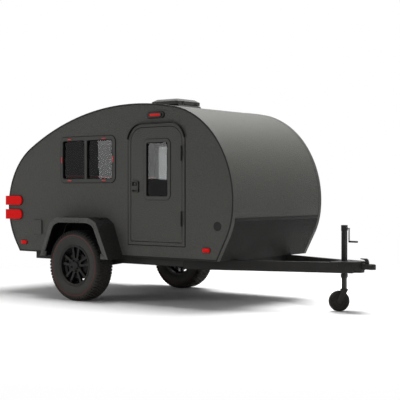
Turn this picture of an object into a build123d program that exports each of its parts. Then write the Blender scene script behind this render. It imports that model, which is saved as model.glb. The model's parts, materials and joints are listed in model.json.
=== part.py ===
from build123d import *
import math
import os

# Off-road teardrop camping trailer, full size, in millimetres.
# +X points forward to the coupler, +Y to the left, +Z up, and Z = 0 is the ground.
# Pieces are drawn with X measured from the wheel axle. save() moves them all together, so that the
# written trailer is centred on X = 0 between its rear lamps and the nose of its coupler.

# Wheels and tyres, size 225/75R16
TYRE_RADIUS = 372
TYRE_WIDTH = 225
TREAD_FLAT = 194
BEAD_RADIUS = 203
TYRE_OUT = 180
RIM_FLANGE_RADIUS = 221
RIM_HALF_WIDTH = 100
RIM_WALL = 8
SPOKES = 10
SPOKE_HUB_GAP = 4
SPOKE_HUB_WIDTH = 26
SPOKE_RIM_GAP = 30
SPOKE_RIM_WIDTH = 28
SPOKE_INNER_RADIUS = 50
RIM_DROP = 18
RIM_DROP_Y = (30, 48)
SPOKE_DEPTH = 30
SPOKE_FACE = 78
PAD_RADIUS = 78
PAD_DEPTH = 30
CAP_RADIUS = 42
CAP_PROUD = 14
CAP_EDGE = 6
DRUM_RADIUS = 140
DRUM_DEPTH = 62
DRUM_RIB = 6
HUB_BARREL_RADIUS = 48
HUB_LENGTH = 92
HUB_WALL = 10
SPINDLE_RADIUS = 22
RUNNING_CLEARANCE = 0.05
SEAT_CLEARANCE = 0.3

# Shell outline in side view: a straight front foot, then tangent arcs over the roof to the rear
FLOOR_Z = 482
FRONT_FOOT_X = 1764
FRONT_FOOT_HEADING = 62.4
FRONT_FOOT_LENGTH = 253
SHELL_ARCS = (
    # radius, turn in degrees
    (670, 20.0),
    (1015, 42.0),
    (900, 34.5),
    (705, 10.2),
    (3000, 41.4),
    (755, 93.0),
)
BODY_HALF_WIDTH = 796
SIDE_WALL = 46
SKIN_WALL = 28
SKIN_INSET = 2
TRIM_WIDTH = 18
TRIM_PROUD = 4
SILL_TRIM = 16
FLOOR_THICKNESS = 25
FRONT_SEAM_Z = 883
SEAM_TRIM_HEIGHT = 30
SEAM_TRIM_THICKNESS = 5
HATCH_HINGE_X = -500
HATCH_FOOT_Z = 640
HATCH_GRIP_Z = (742, 770)
HATCH_GRIP_HALF = 130
HATCH_GRIP_OUT = 30
HATCH_GRIP_DEPTH = 12
HATCH_POST_WIDTH = 24
HATCH_KNUCKLE_RADIUS = 8
HATCH_PIN_RADIUS = 4
HATCH_STRIP_WIDTH = 42
HATCH_STRIP_THICKNESS = 4
HATCH_KNUCKLE_GAP = 1
HATCH_KNUCKLES = (
    # who carries it, its ends as shares of the hatch's half width
    ("roof", -1.0, -0.6),
    ("hatch", -0.6, -0.2),
    ("roof", -0.2, 0.2),
    ("hatch", 0.2, 0.6),
    ("roof", 0.6, 1.0),
)
MOVING_GAP = 6

# Side window and its frame
WINDOW_X = (-374, 439)
WINDOW_Z = (1248, 1738)
WINDOW_RADIUS = 65
WINDOW_FRAME_WIDTH = 38
WINDOW_LAP = 14
WINDOW_PROUD = 9
MULLION_X = 12
MULLION_WIDTH = 33
GLASS_THICKNESS = 5
GLASS_RECESS = 18
GLASS_SEAT = 5

# Side door
DOOR_X = (623, 1366)
DOOR_Z = (613, 1838)
DOOR_RADIUS = 186
DOOR_FRAME_WIDTH = 30
DOOR_LAP = 12
DOOR_FRAME_PROUD = 5
DOOR_THICKNESS = 42
DOOR_PROUD = 3
DOOR_WINDOW_X = (835, 1184)
DOOR_WINDOW_Z = (1071, 1683)
DOOR_WINDOW_RADIUS = 55
DOOR_WINDOW_FRAME = 34
DOOR_WINDOW_PROUD = 7
DOOR_GLASS_RECESS = 14
HANDLE_X = (681, 765)
HANDLE_Z = (1144, 1262)
HANDLE_PROUD = 16
HANDLE_RADIUS = 14
HANDLE_RIM = 9
HANDLE_FLOOR = 4
PADDLE_Z = (1172, 1212)
HINGE_AXIS_OUT = 15
HINGE_RADIUS = 8
HINGE_PIN_RADIUS = 4
HINGE_CENTRES_Z = (885, 1532)
HINGE_LENGTH = 150
HINGE_LEAF_WIDTH = 34
HINGE_LEAF_THICKNESS = 3
HINGE_KNUCKLE_GAP = 1
VISOR_GAP = 3
VISOR_THICKNESS = 8
VISOR_PROUD = 24
VISOR_FOOT_Z = 1690

# Wheel arch and fender
FENDER_OUT = 204
FENDER_FOOT_Z = FLOOR_Z - 24
FENDER_WALL = 10
FENDER_LIP = 55
FENDER_LIP_DEPTH = 14
FENDER_CORNER = 35
FENDER_OUTLINE = (
    # name, x at the lip, z at the lip, x at the wall, z at the wall
    ("rear foot", -487, FENDER_FOOT_Z, -517, FENDER_FOOT_Z),
    ("rear shoulder", -331, 826, -398, 816),
    ("rear top", -229, 880, -312, 880),
    ("front top", 238, 880, 322, 880),
    ("front shoulder", 346, 834, 412, 818),
    ("front foot", 521, FENDER_FOOT_Z, 551, FENDER_FOOT_Z),
)
OPENING_FOOT_IN = 20
OPENING_BELOW = 200
OPENING_ABOVE = 100
WELL_DEPTH = 60
WELL_WALL = 5

# Chassis, drawbar and coupler
RAIL_DEPTH = 80
RAIL_WIDTH = 50
RAIL_IN = 96
RAIL_REAR_X = -870
DRAWBAR_JOINT_X = 1270
DRAWBAR_FRONT_HALF = 118.7
DRAWBAR_DEPTH = 102
DRAWBAR_WIDTH = 50
DRAWBAR_FRONT_X = 2850
CROSS_WIDTH = 60
CROSS_MEMBERS_X = (-840, -420, 470, 950)
FRONT_CROSS_X = 1640
COUPLER_REAR_X = 2826
NOSE_X = 3035
BALL_SOCKET_X = 2995
BALL_SOCKET_RADIUS = 25.4
BALL_SOCKET_DEPTH = 34
COUPLER_HEAD_RADIUS = 40
COUPLER_BASE_Z = 416
COUPLER_TOP_Z = 467
COUPLER_WIDTH = 64
COUPLER_EDGE = 12
LATCH_X = (2880, 2966)
LATCH_BASE_Z = 476
LATCH_TOP_Z = 519
LATCH_HALF = 11
PLATE_X = (2600, 2780)
PLATE_DROP = 2
TONGUE_BLOCK_X = (2800, 2901)

# Tongue jack
JACK_X = 2700
JACK_TUBE_WIDTH = 56
JACK_TUBE_WALL = 2.5
JACK_TUBE_TOP_Z = 776
JACK_TUBE_BASE_Z = 322
JACK_CAP_TOP_Z = 832
JACK_CAP_WIDTH = 66
JACK_COLLAR_Z = (330, 362)
JACK_COLLAR_WIDTH = 66
JACK_PLATE_THICKNESS = 8
JACK_LEG_WIDTH = 50
JACK_LEG_WALL = 4
JACK_LEG_TOP_Z = 660
JACK_CAP_EDGE = 10
SWIVEL_PIN_RADIUS = 12
JACK_RAISE = 95
JACK_LOWER = 150
CRANK_SHAFT_Z = 800
CRANK_X = 2752
CRANK_ARM = 126
CRANK_GRIP = 92
CRANK_RADIUS = 7
CASTER_RADIUS = 100
CASTER_WIDTH = 50
CASTER_HUB_RADIUS = 22
CASTER_AXLE_RADIUS = 8
CASTER_TRAIL = 50
CASTER_YAW = 38
FORK_PLATE_Z = 216
FORK_PLATE_RADIUS = 38
FORK_PLATE_THICKNESS = 6
SWIVEL_GAP = 1
FORK_WALL = 5
FORK_SIDE_GAP = 6

# Suspension: a trailing arm and an air spring on each side
ARM_PIVOT_X = 400
ARM_PIVOT_Z = 430
ARM_IN = 50
ARM_WIDTH = 50
ARM_PIVOT_RADIUS = 30
ARM_AXLE_RADIUS = 38
ARM_TAIL_X = -150
ARM_TAIL_RADIUS = 28
BRACKET_THICKNESS = 8
BRACKET_GAP = 1
PIVOT_BOLT_RADIUS = 10
SPRING_RADIUS = 48
SPRING_FOLD_DEPTH = 12
SPRING_FOLDS = 2

# Lamps, flap and roof vent
LAMP_REAR_X = -1262
LAMP_FRONT_X = -985
LAMP_OUT = 20
LAMP_LAP = 44
TAIL_LAMPS_Z = ((1000, 1104), (841, 951))
LAMP_CORNER = 18
MARKER_SIZE = (104, 48)
MARKER_PROUD = 14
MARKER_RADIUS = 10
FLAP_RADIUS = 12
MARKERS_AT = ((1637, 585), (-955, 584))
UPPER_LAMP_AT = (990, 1924)
UPPER_LAMP_SIZE = (230, 60)
UPPER_LENS_SIZE = (176, 38)
UPPER_LAMP_PROUD = 14
UPPER_LENS_PROUD = 18
FLAP_X = (-801, -666)
FLAP_Z = (682, 839)
FLAP_PROUD = 16
VENT_X = 605
VENT_SIZE = 400
VENT_FOOT_SIZE = 430
VENT_BASE_SIZE = 372
VENT_OPENING = 320
VENT_BASE_TOP_Z = 2082
VENT_LID_WALL = 4
VENT_LID_GAP = 6
VENT_LID_HEIGHT = 62
VENT_LID_LIP = 4
VENT_LID_LENGTH = 380
VENT_BASE_HEIGHT = 80
VENT_DOME = 26
VENT_CROWN_IN = 40
VENT_CORNER = 30
VENT_HINGE_IN = 7
VENT_HINGE_UP = 16
VENT_HINGE_Y = 110
VENT_EYE_RADIUS = 7
VENT_EYE_HALF = 4
VENT_LUG_OUT = 11
VENT_LUG_HALF = 3
VENT_NOTCH_HALF = 20
VENT_PIN_RADIUS = 3

# Inside: galley bulkhead, counter, shelf and mattress
BULKHEAD_X = -600
BULKHEAD_THICKNESS = 18
COUNTER_Z = 900
COUNTER_THICKNESS = 22
COUNTER_DEPTH = 430
SHELF_Z = 1330
SHELF_THICKNESS = 24
SHELF_FRONT_X = -350
BOARD_CLEARANCE = 0.3
MATTRESS_X = (-560, 1500)
MATTRESS_SIDE_GAP = 20
MATTRESS_THICKNESS = 120
MATTRESS_CORNER = 45

# Sizes worked out from the ones above
TYRE_OUTER_Y = BODY_HALF_WIDTH + TYRE_OUT
WHEEL_Y = TYRE_OUTER_Y - TYRE_WIDTH / 2
CABIN_HALF_WIDTH = BODY_HALF_WIDTH - SIDE_WALL
TRIM_OUT_Y = BODY_HALF_WIDTH + TRIM_PROUD
RAIL_BASE_Z = FLOOR_Z - RAIL_DEPTH
RAIL_OUTER_Y = BODY_HALF_WIDTH - RAIL_IN
RAIL_INNER_Y = RAIL_OUTER_Y - RAIL_WIDTH
ARM_Y = RAIL_INNER_Y - ARM_IN
FENDER_OUT_Y = BODY_HALF_WIDTH + FENDER_OUT
WELL_INNER_Y = CABIN_HALF_WIDTH - WELL_DEPTH
MATTRESS_HALF_WIDTH = WELL_INNER_Y - MATTRESS_SIDE_GAP
LAMP_OUT_Y = BODY_HALF_WIDTH + LAMP_OUT
LAMP_INNER_Y = BODY_HALF_WIDTH - LAMP_LAP
VENT_LID_EDGE_Z = VENT_BASE_TOP_Z + VENT_LID_GAP
VENT_LID_TOP_Z = VENT_LID_EDGE_Z + VENT_LID_HEIGHT
DRAWBAR_ANGLE = math.degrees(math.atan2(RAIL_OUTER_Y - DRAWBAR_FRONT_HALF, DRAWBAR_FRONT_X - DRAWBAR_JOINT_X))
DRAWBAR_BASE_Z = FLOOR_Z - DRAWBAR_DEPTH
FLOOR_TOP_Z = FLOOR_Z + FLOOR_THICKNESS
SKIN_INNER = SKIN_INSET + SKIN_WALL
DOOR_OUT_Y = BODY_HALF_WIDTH + DOOR_PROUD
HINGE_AXIS_X = DOOR_X[1] - DOOR_FRAME_WIDTH - MOVING_GAP / 2
HINGE_AXIS_Y = BODY_HALF_WIDTH + HINGE_AXIS_OUT
CENTRE_SHIFT = -(NOSE_X + LAMP_REAR_X) / 2
FAR = 4000


def save(name, *pieces):
    """Write the pieces as one node, moved to the trailer's own origin."""
    solids = []
    for piece in pieces:
        solids += list(piece.solids())
    export_step(Pos(CENTRE_SHIFT, 0, 0) * Compound(children=solids), f"parts/{name}.step")


def across(face, y_from, y_to):
    """Solid between two distances to the side, of a face drawn on the centre plane."""
    return extrude(Pos(0, y_from, 0) * face, amount=y_to - y_from, dir=(0, 1, 0))


def side_view(sketch):
    """A flat sketch stood up on the centre plane: its x along X and its y along Z."""
    return Plane.XZ * sketch


def block(x_range, y_range, z_range):
    """A box between two corners."""
    size = [high - low for low, high in (x_range, y_range, z_range)]
    middle = [(low + high) / 2 for low, high in (x_range, y_range, z_range)]
    return Pos(*middle) * Box(*size)


def grown(span, by):
    """A span made longer at both ends, or shorter where by is negative."""
    return (span[0] - by, span[1] + by)


def rounded(x_range, z_range, radius):
    """Rectangle with round corners on the centre plane."""
    width = x_range[1] - x_range[0]
    height = z_range[1] - z_range[0]
    middle = Pos(sum(x_range) / 2, sum(z_range) / 2)
    return side_view(middle * RectangleRounded(width, height, radius))


def arch(x_range, z_range, radius):
    """Rectangle with round top corners and square bottom ones, on the centre plane."""
    width = x_range[1] - x_range[0]
    height = z_range[1] - z_range[0]
    sketch = Rectangle(width, height)
    sketch = fillet(sketch.vertices().group_by(Axis.Y)[-1], radius)
    return side_view(Pos(sum(x_range) / 2, sum(z_range) / 2) * sketch)


def both_sides(piece):
    """The left piece and its mirror image on the right."""
    return [piece, mirror(piece, about=Plane.XZ)]


def rod(start, end, radius):
    """Round bar from one point to another."""
    line = Line(start, end)
    return sweep(Plane(origin=start, z_dir=line % 0) * Circle(radius), path=line)


# Shell outline
def shell_edges(inset, sill):
    """Edges of the side outline, moved inwards by inset, with its base at sill over the floor line."""
    heading = math.radians(FRONT_FOOT_HEADING)
    base_z = FLOOR_Z + sill
    x = FRONT_FOOT_X - inset * math.sin(heading)
    z = FLOOR_Z + inset * math.cos(heading)
    end_x = x + FRONT_FOOT_LENGTH * math.cos(heading)
    end_z = z + FRONT_FOOT_LENGTH * math.sin(heading)
    foot_x = x + (base_z - z) / math.tan(heading)
    first = (foot_x, base_z)
    here = (end_x, end_z)
    edges = [Line((foot_x, 0, base_z), (end_x, 0, end_z))]
    for radius, turn in SHELL_ARCS:
        reach = radius - inset
        centre_x = here[0] - reach * math.sin(heading)
        centre_z = here[1] + reach * math.cos(heading)
        points = []
        for share in (0.5, 1.0):
            angle = heading + math.radians(turn) * share
            points.append((centre_x + reach * math.sin(angle), centre_z - reach * math.cos(angle)))
        middle, end = points
        edges.append(ThreePointArc((here[0], 0, here[1]), (middle[0], 0, middle[1]), (end[0], 0, end[1])))
        heading += math.radians(turn)
        here = end
    last_x = here[0] + (base_z - here[1]) / math.tan(heading)
    edges.append(Line((here[0], 0, here[1]), (last_x, 0, base_z)))
    edges.append(Line((last_x, 0, base_z), (first[0], 0, base_z)))
    return edges


def shell_face(inset, sill=0):
    """Side outline of the shell as a face on the centre plane."""
    return Face(Wire(shell_edges(inset, sill)))


def shell_point(x_wanted, inset=SKIN_INSET):
    """Height and heading of the outline at a distance along X, on its upper side."""
    heading = math.radians(FRONT_FOOT_HEADING)
    x = FRONT_FOOT_X - inset * math.sin(heading) + FRONT_FOOT_LENGTH * math.cos(heading)
    z = FLOOR_Z + inset * math.cos(heading) + FRONT_FOOT_LENGTH * math.sin(heading)
    for radius, turn in SHELL_ARCS:
        reach = radius - inset
        centre_x = x - reach * math.sin(heading)
        centre_z = z + reach * math.cos(heading)
        sine = (x_wanted - centre_x) / reach
        if abs(sine) < 1:
            angle = math.pi - math.asin(sine)
            if heading <= angle <= heading + math.radians(turn):
                return centre_z - reach * math.cos(angle), angle
        heading += math.radians(turn)
        x = centre_x + reach * math.sin(heading)
        z = centre_z - reach * math.cos(heading)
    raise ValueError("no roof at this distance")


HATCH_HINGE_Z, HATCH_HINGE_HEADING = shell_point(HATCH_HINGE_X)
SKIN_LOOP = shell_face(SKIN_INSET) - shell_face(SKIN_INNER)


def region(x_range, z_range):
    """Plain rectangle on the centre plane."""
    middle = Pos(sum(x_range) / 2, sum(z_range) / 2)
    return side_view(middle * Rectangle(x_range[1] - x_range[0], z_range[1] - z_range[0]))


def beyond_hinge(gap, side):
    """What lies on one side of the hatch hinge's cut, with a gap: side 1 is ahead and -1 behind."""
    turn = math.degrees(HATCH_HINGE_HEADING) - 180
    cut = Rot(0, 0, turn) * Pos(side * (FAR / 2 + gap), 0) * Rectangle(FAR, FAR)
    return side_view(Pos(HATCH_HINGE_X, HATCH_HINGE_Z) * cut)


def skin(face, half_width=CABIN_HALF_WIDTH):
    """Stretch of the outer skin between the side walls."""
    return across(SKIN_LOOP & face, -half_width, half_width)


def fender_sketch(column, inset, drop=0):
    """Outline of the fender at the wall (column 3) or at its lip (column 1), moved inwards."""
    points = [(row[column], row[column + 1] - (drop if "foot" in row[0] else 0)) for row in FENDER_OUTLINE]
    face = make_face(Polyline(*points, close=True))
    face = fillet(face.vertices().sort_by(Axis.Y)[2:], FENDER_CORNER)
    if inset:
        face = offset(face, amount=-inset, kind=Kind.INTERSECTION)
    return side_view(face)


def wheel_opening(extra=0):
    """Outline of the opening round the wheel, run on below the floor line."""
    opening = fender_sketch(1, FENDER_LIP - extra)
    box = opening.bounding_box()
    foot = region(
        (box.min.X + OPENING_FOOT_IN, box.max.X - OPENING_FOOT_IN),
        (FENDER_FOOT_Z - OPENING_BELOW, FENDER_FOOT_Z + OPENING_ABOVE),
    )
    return opening + foot


def build_shell():
    """Roof, front, floor, sill and the trims between them."""
    ahead = region((0, FAR), (FLOOR_Z - 1, FRONT_SEAM_Z))
    top = region((-FAR, FAR), (FRONT_SEAM_Z, FAR)) & beyond_hinge(0, 1)
    roof = skin(top)
    half = VENT_OPENING / 2
    roof -= block((VENT_X - half, VENT_X + half), (-half, half), (FRONT_SEAM_Z, FAR))
    save("roof_skin", roof)
    save("front_lower_panel", skin(ahead))
    save("rear_sill", skin(region((-FAR, 0), (FLOOR_Z - 1, HATCH_FOOT_Z - MOVING_GAP))))
    floor = across(shell_face(SKIN_INNER), -CABIN_HALF_WIDTH, CABIN_HALF_WIDTH)
    floor &= block((-FAR, FAR), (-FAR, FAR), (FLOOR_Z, FLOOR_TOP_Z))
    well = across(wheel_opening(WELL_WALL), WELL_INNER_Y, CABIN_HALF_WIDTH + 1)
    for piece in both_sides(well):
        floor -= piece
    save("floor_panel", floor)
    seam = shell_face(SKIN_INSET - SEAM_TRIM_THICKNESS) - shell_face(SKIN_INSET)
    seam &= region((0, FAR), (FRONT_SEAM_Z - SEAM_TRIM_HEIGHT / 2, FRONT_SEAM_Z + SEAM_TRIM_HEIGHT / 2))
    save("front_seam_trim", across(seam, -CABIN_HALF_WIDTH, CABIN_HALF_WIDTH))
    band = shell_face(0) - shell_face(TRIM_WIDTH, SILL_TRIM)
    trim = across(band, CABIN_HALF_WIDTH, TRIM_OUT_Y)
    feet = region((FENDER_OUTLINE[0][3], FENDER_OUTLINE[-1][3]), (FLOOR_Z - 1, FLOOR_Z + SILL_TRIM + 1))
    trim -= across(feet, BODY_HALF_WIDTH, TRIM_OUT_Y + 1)
    trim -= across(wheel_opening(), CABIN_HALF_WIDTH - 1, BODY_HALF_WIDTH)
    wall = across(shell_face(TRIM_WIDTH, SILL_TRIM), CABIN_HALF_WIDTH, BODY_HALF_WIDTH)
    window_hole = rounded(grown(WINDOW_X, -WINDOW_LAP), grown(WINDOW_Z, -WINDOW_LAP), WINDOW_RADIUS - WINDOW_LAP)
    door_hole = arch(grown(DOOR_X, -DOOR_LAP), grown(DOOR_Z, -DOOR_LAP), DOOR_RADIUS - DOOR_LAP)
    for hole in (window_hole, door_hole, wheel_opening()):
        wall -= across(hole, CABIN_HALF_WIDTH - 1, BODY_HALF_WIDTH + 1)
    liner = across(wheel_opening(WELL_WALL), WELL_INNER_Y, CABIN_HALF_WIDTH)
    liner -= across(wheel_opening(), WELL_INNER_Y + WELL_WALL, CABIN_HALF_WIDTH + 1)
    liner &= block((-FAR, FAR), (0, FAR), (FLOOR_Z, FAR))
    save_pair("side_panel", wall)
    save("edge_trims", *both_sides(trim))
    save("wheel_wells", *both_sides(liner))


def save_pair(name, *pieces):
    """Write a left node and its mirror image on the right."""
    save(f"{name}_left", *pieces)
    save(f"{name}_right", *[mirror(piece, about=Plane.XZ) for piece in pieces])


def build_hatch():
    """Rear hatch, its handle and its full-width hinge."""
    half = CABIN_HALF_WIDTH - MOVING_GAP
    panel = skin(region((-FAR, 0), (HATCH_FOOT_Z, FAR)) & beyond_hinge(MOVING_GAP, -1), half)
    rear = region((-FAR, 0), HATCH_GRIP_Z)
    bar = shell_face(SKIN_INSET - HATCH_GRIP_OUT) - shell_face(SKIN_INSET - HATCH_GRIP_OUT + HATCH_GRIP_DEPTH)
    post = shell_face(SKIN_INSET - HATCH_GRIP_OUT) - shell_face(SKIN_INSET)
    handle = across(bar & rear, -HATCH_GRIP_HALF, HATCH_GRIP_HALF)
    for side in (-1, 1):
        outer = side * HATCH_GRIP_HALF
        inner = outer - side * HATCH_POST_WIDTH
        handle += across(post & rear, min(outer, inner), max(outer, inner))
    save("hatch_handle", handle)
    strip = shell_face(SKIN_INSET - HATCH_STRIP_THICKNESS) - shell_face(SKIN_INSET)
    strip &= region((-FAR, FAR), (HATCH_HINGE_Z - 2 * HATCH_STRIP_WIDTH, FAR))
    clear = HATCH_KNUCKLE_RADIUS + 2
    pieces = {}
    for name, side in (("roof", 1), ("hatch", -1)):
        near = beyond_hinge(clear, side)
        flat = (strip & near) - beyond_hinge(HATCH_STRIP_WIDTH, side)
        pieces[name] = across(flat, -half, half)
        web = (strip & beyond_hinge(0, side)) - beyond_hinge(clear + 1, side)
        for owner, low_share, high_share in HATCH_KNUCKLES:
            if owner == name:
                low = low_share * half + HATCH_KNUCKLE_GAP / 2
                high = high_share * half - HATCH_KNUCKLE_GAP / 2
                pieces[name] += across(web, low, high)
                pieces[name] += hinge_rod(HATCH_KNUCKLE_RADIUS, low, high)
    pin_low = -half + HATCH_KNUCKLE_GAP / 2
    pin_high = half - HATCH_KNUCKLE_GAP / 2
    bore = hinge_rod(HATCH_PIN_RADIUS + RUNNING_CLEARANCE, pin_low, pin_high)
    save("hatch_panel", panel + (pieces["hatch"] - bore))
    save("hatch_hinge_rail", pieces["roof"] + hinge_rod(HATCH_PIN_RADIUS, pin_low, pin_high))


def hinge_rod(radius, y_from, y_to):
    """Round bar on the hatch's hinge axis."""
    circle = Pos(HATCH_AXIS[0], HATCH_AXIS[1]) * Circle(radius)
    return across(side_view(circle), y_from, y_to)


HATCH_OUTWARD = HATCH_HINGE_HEADING - math.pi / 2
HATCH_AXIS = (
    HATCH_HINGE_X + (HATCH_KNUCKLE_RADIUS + 1) * math.cos(HATCH_OUTWARD),
    HATCH_HINGE_Z + (HATCH_KNUCKLE_RADIUS + 1) * math.sin(HATCH_OUTWARD),
)


def build_window():
    """Side window: one frame with a mullion, and two panes in its groove."""
    outer = rounded(WINDOW_X, WINDOW_Z, WINDOW_RADIUS)
    body = rounded(grown(WINDOW_X, -WINDOW_LAP), grown(WINDOW_Z, -WINDOW_LAP), WINDOW_RADIUS - WINDOW_LAP)
    bar_half = MULLION_WIDTH / 2
    bar = region((MULLION_X - bar_half, MULLION_X + bar_half), WINDOW_Z)
    light = inside_frame(WINDOW_X, WINDOW_Z, WINDOW_RADIUS, WINDOW_FRAME_WIDTH) - bar
    groove_bar = region((MULLION_X - bar_half + GLASS_SEAT, MULLION_X + bar_half - GLASS_SEAT), WINDOW_Z)
    groove = inside_frame(WINDOW_X, WINDOW_Z, WINDOW_RADIUS, WINDOW_FRAME_WIDTH - GLASS_SEAT) - groove_bar
    out_y = BODY_HALF_WIDTH + WINDOW_PROUD
    glass_y = out_y - GLASS_RECESS
    frame = across(outer, BODY_HALF_WIDTH, out_y) + across(body, CABIN_HALF_WIDTH, BODY_HALF_WIDTH)
    frame -= across(light, CABIN_HALF_WIDTH - 1, out_y + 1)
    panes = across(groove, glass_y - GLASS_THICKNESS, glass_y)
    save("window_frames", *both_sides(frame - panes))
    save("window_glass", *both_sides(panes))


def inside_frame(x_range, z_range, radius, width):
    """Rounded rectangle that is left inside a frame of some width."""
    return rounded(grown(x_range, -width), grown(z_range, -width), radius - width)


def build_door():
    """Side door, its frame in the wall, its window, handle, hinges and the visor over it."""
    edge = DOOR_FRAME_WIDTH + MOVING_GAP
    outer = arch(DOOR_X, DOOR_Z, DOOR_RADIUS)
    body = arch(grown(DOOR_X, -DOOR_LAP), grown(DOOR_Z, -DOOR_LAP), DOOR_RADIUS - DOOR_LAP)
    inner = arch(grown(DOOR_X, -DOOR_FRAME_WIDTH), grown(DOOR_Z, -DOOR_FRAME_WIDTH), DOOR_RADIUS - DOOR_FRAME_WIDTH)
    frame_out = BODY_HALF_WIDTH + DOOR_FRAME_PROUD
    frame = across(outer, BODY_HALF_WIDTH, frame_out) + across(body, CABIN_HALF_WIDTH, BODY_HALF_WIDTH)
    frame -= across(inner, CABIN_HALF_WIDTH - 1, frame_out + 1)
    leaf = arch(grown(DOOR_X, -edge), grown(DOOR_Z, -edge), DOOR_RADIUS - edge)
    leaf = across(leaf, DOOR_OUT_Y - DOOR_THICKNESS, DOOR_OUT_Y)
    lap = WINDOW_LAP
    hole = inside_frame(DOOR_WINDOW_X, DOOR_WINDOW_Z, DOOR_WINDOW_RADIUS, lap)
    light = inside_frame(DOOR_WINDOW_X, DOOR_WINDOW_Z, DOOR_WINDOW_RADIUS, DOOR_WINDOW_FRAME)
    groove = inside_frame(DOOR_WINDOW_X, DOOR_WINDOW_Z, DOOR_WINDOW_RADIUS, DOOR_WINDOW_FRAME - GLASS_SEAT)
    inner_y = DOOR_OUT_Y - DOOR_THICKNESS
    leaf -= across(hole, inner_y - 1, DOOR_OUT_Y + 1)
    window_out = DOOR_OUT_Y + DOOR_WINDOW_PROUD
    window = across(rounded(DOOR_WINDOW_X, DOOR_WINDOW_Z, DOOR_WINDOW_RADIUS), DOOR_OUT_Y, window_out)
    window += across(hole, inner_y, DOOR_OUT_Y)
    window -= across(light, inner_y - 1, window_out + 1)
    glass_y = window_out - DOOR_GLASS_RECESS
    glass = across(groove, glass_y - GLASS_THICKNESS, glass_y)
    save("door_frames", *both_sides(frame))
    save_pair("door_window_frame", window - glass)
    save_pair("door_glass", glass)
    bezel = across(rounded(HANDLE_X, HANDLE_Z, HANDLE_RADIUS), DOOR_OUT_Y, DOOR_OUT_Y + HANDLE_PROUD)
    cup = rounded(grown(HANDLE_X, -HANDLE_RIM), grown(HANDLE_Z, -HANDLE_RIM), HANDLE_RADIUS - HANDLE_RIM / 2)
    bezel -= across(cup, DOOR_OUT_Y + HANDLE_FLOOR, DOOR_OUT_Y + HANDLE_PROUD + 1)
    paddle = block(grown(HANDLE_X, -HANDLE_RIM), (DOOR_OUT_Y + HANDLE_FLOOR, DOOR_OUT_Y + HANDLE_PROUD), PADDLE_Z)
    save_pair("door_handle", bezel + paddle)
    build_door_hinges(leaf)
    visor_outer = arch(grown(DOOR_X, VISOR_GAP + VISOR_THICKNESS), grown(DOOR_Z, VISOR_GAP + VISOR_THICKNESS),
                       DOOR_RADIUS + VISOR_GAP + VISOR_THICKNESS)
    visor_inner = arch(grown(DOOR_X, VISOR_GAP), grown(DOOR_Z, VISOR_GAP), DOOR_RADIUS + VISOR_GAP)
    visor = (visor_outer - visor_inner) & region((0, FAR), (VISOR_FOOT_Z, FAR))
    save("door_visors", *both_sides(across(visor, BODY_HALF_WIDTH, BODY_HALF_WIDTH + VISOR_PROUD)))


def build_door_hinges(leaf):
    """Two hinges with the pin on the wall's half, ahead of the door."""
    fixed = []
    third = HINGE_LENGTH / 3
    foot_y = BODY_HALF_WIDTH + DOOR_FRAME_PROUD
    for centre_z in HINGE_CENTRES_Z:
        low = centre_z - HINGE_LENGTH / 2
        high = centre_z + HINGE_LENGTH / 2
        pin = upright_rod(HINGE_PIN_RADIUS, low, high)
        wall_half = pin
        for z_from, z_to in ((low, low + third), (high - third, high)):
            wall_half += upright_rod(HINGE_RADIUS, z_from, z_to)
            wall_half += block(
                (HINGE_AXIS_X, HINGE_AXIS_X + HINGE_LEAF_WIDTH),
                (foot_y, foot_y + HINGE_LEAF_THICKNESS),
                (z_from, z_to),
            )
        middle = (low + third + HINGE_KNUCKLE_GAP, high - third - HINGE_KNUCKLE_GAP)
        door_half = upright_rod(HINGE_RADIUS, *middle)
        door_half += block(
            (HINGE_AXIS_X - HINGE_LEAF_WIDTH, HINGE_AXIS_X),
            (DOOR_OUT_Y, DOOR_OUT_Y + HINGE_LEAF_THICKNESS),
            middle,
        )
        door_half += block(
            (HINGE_AXIS_X - HINGE_RADIUS, HINGE_AXIS_X),
            (DOOR_OUT_Y + 1, HINGE_AXIS_Y),
            middle,
        )
        bore = upright_rod(HINGE_PIN_RADIUS + RUNNING_CLEARANCE, low - 1, high + 1)
        leaf += door_half - bore
        fixed += both_sides(wall_half)
    save_pair("door_panel", leaf)
    save("door_hinge_knuckles", *fixed)


def upright_rod(radius, z_from, z_to):
    """Round bar on the door's hinge axis."""
    return Pos(HINGE_AXIS_X, HINGE_AXIS_Y, (z_from + z_to) / 2) * Cylinder(radius, z_to - z_from)


def build_fender():
    """Wide fender: a drafted shell, open below, with a broad flat lip round the wheel."""
    wall = BODY_HALF_WIDTH
    hollow_y = FENDER_OUT_Y - FENDER_LIP_DEPTH
    outer = loft([Pos(0, wall, 0) * fender_sketch(3, 0), Pos(0, FENDER_OUT_Y, 0) * fender_sketch(1, 0)], ruled=True)
    hollow = [
        Pos(0, wall, 0) * fender_sketch(3, FENDER_WALL, FENDER_WALL * 3),
        Pos(0, hollow_y, 0) * fender_sketch(1, FENDER_WALL, FENDER_WALL * 3),
    ]
    shell = outer - loft(hollow, ruled=True)
    shell -= across(wheel_opening(), wall - 1, FENDER_OUT_Y + 1)
    save_pair("fender", shell)


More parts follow.
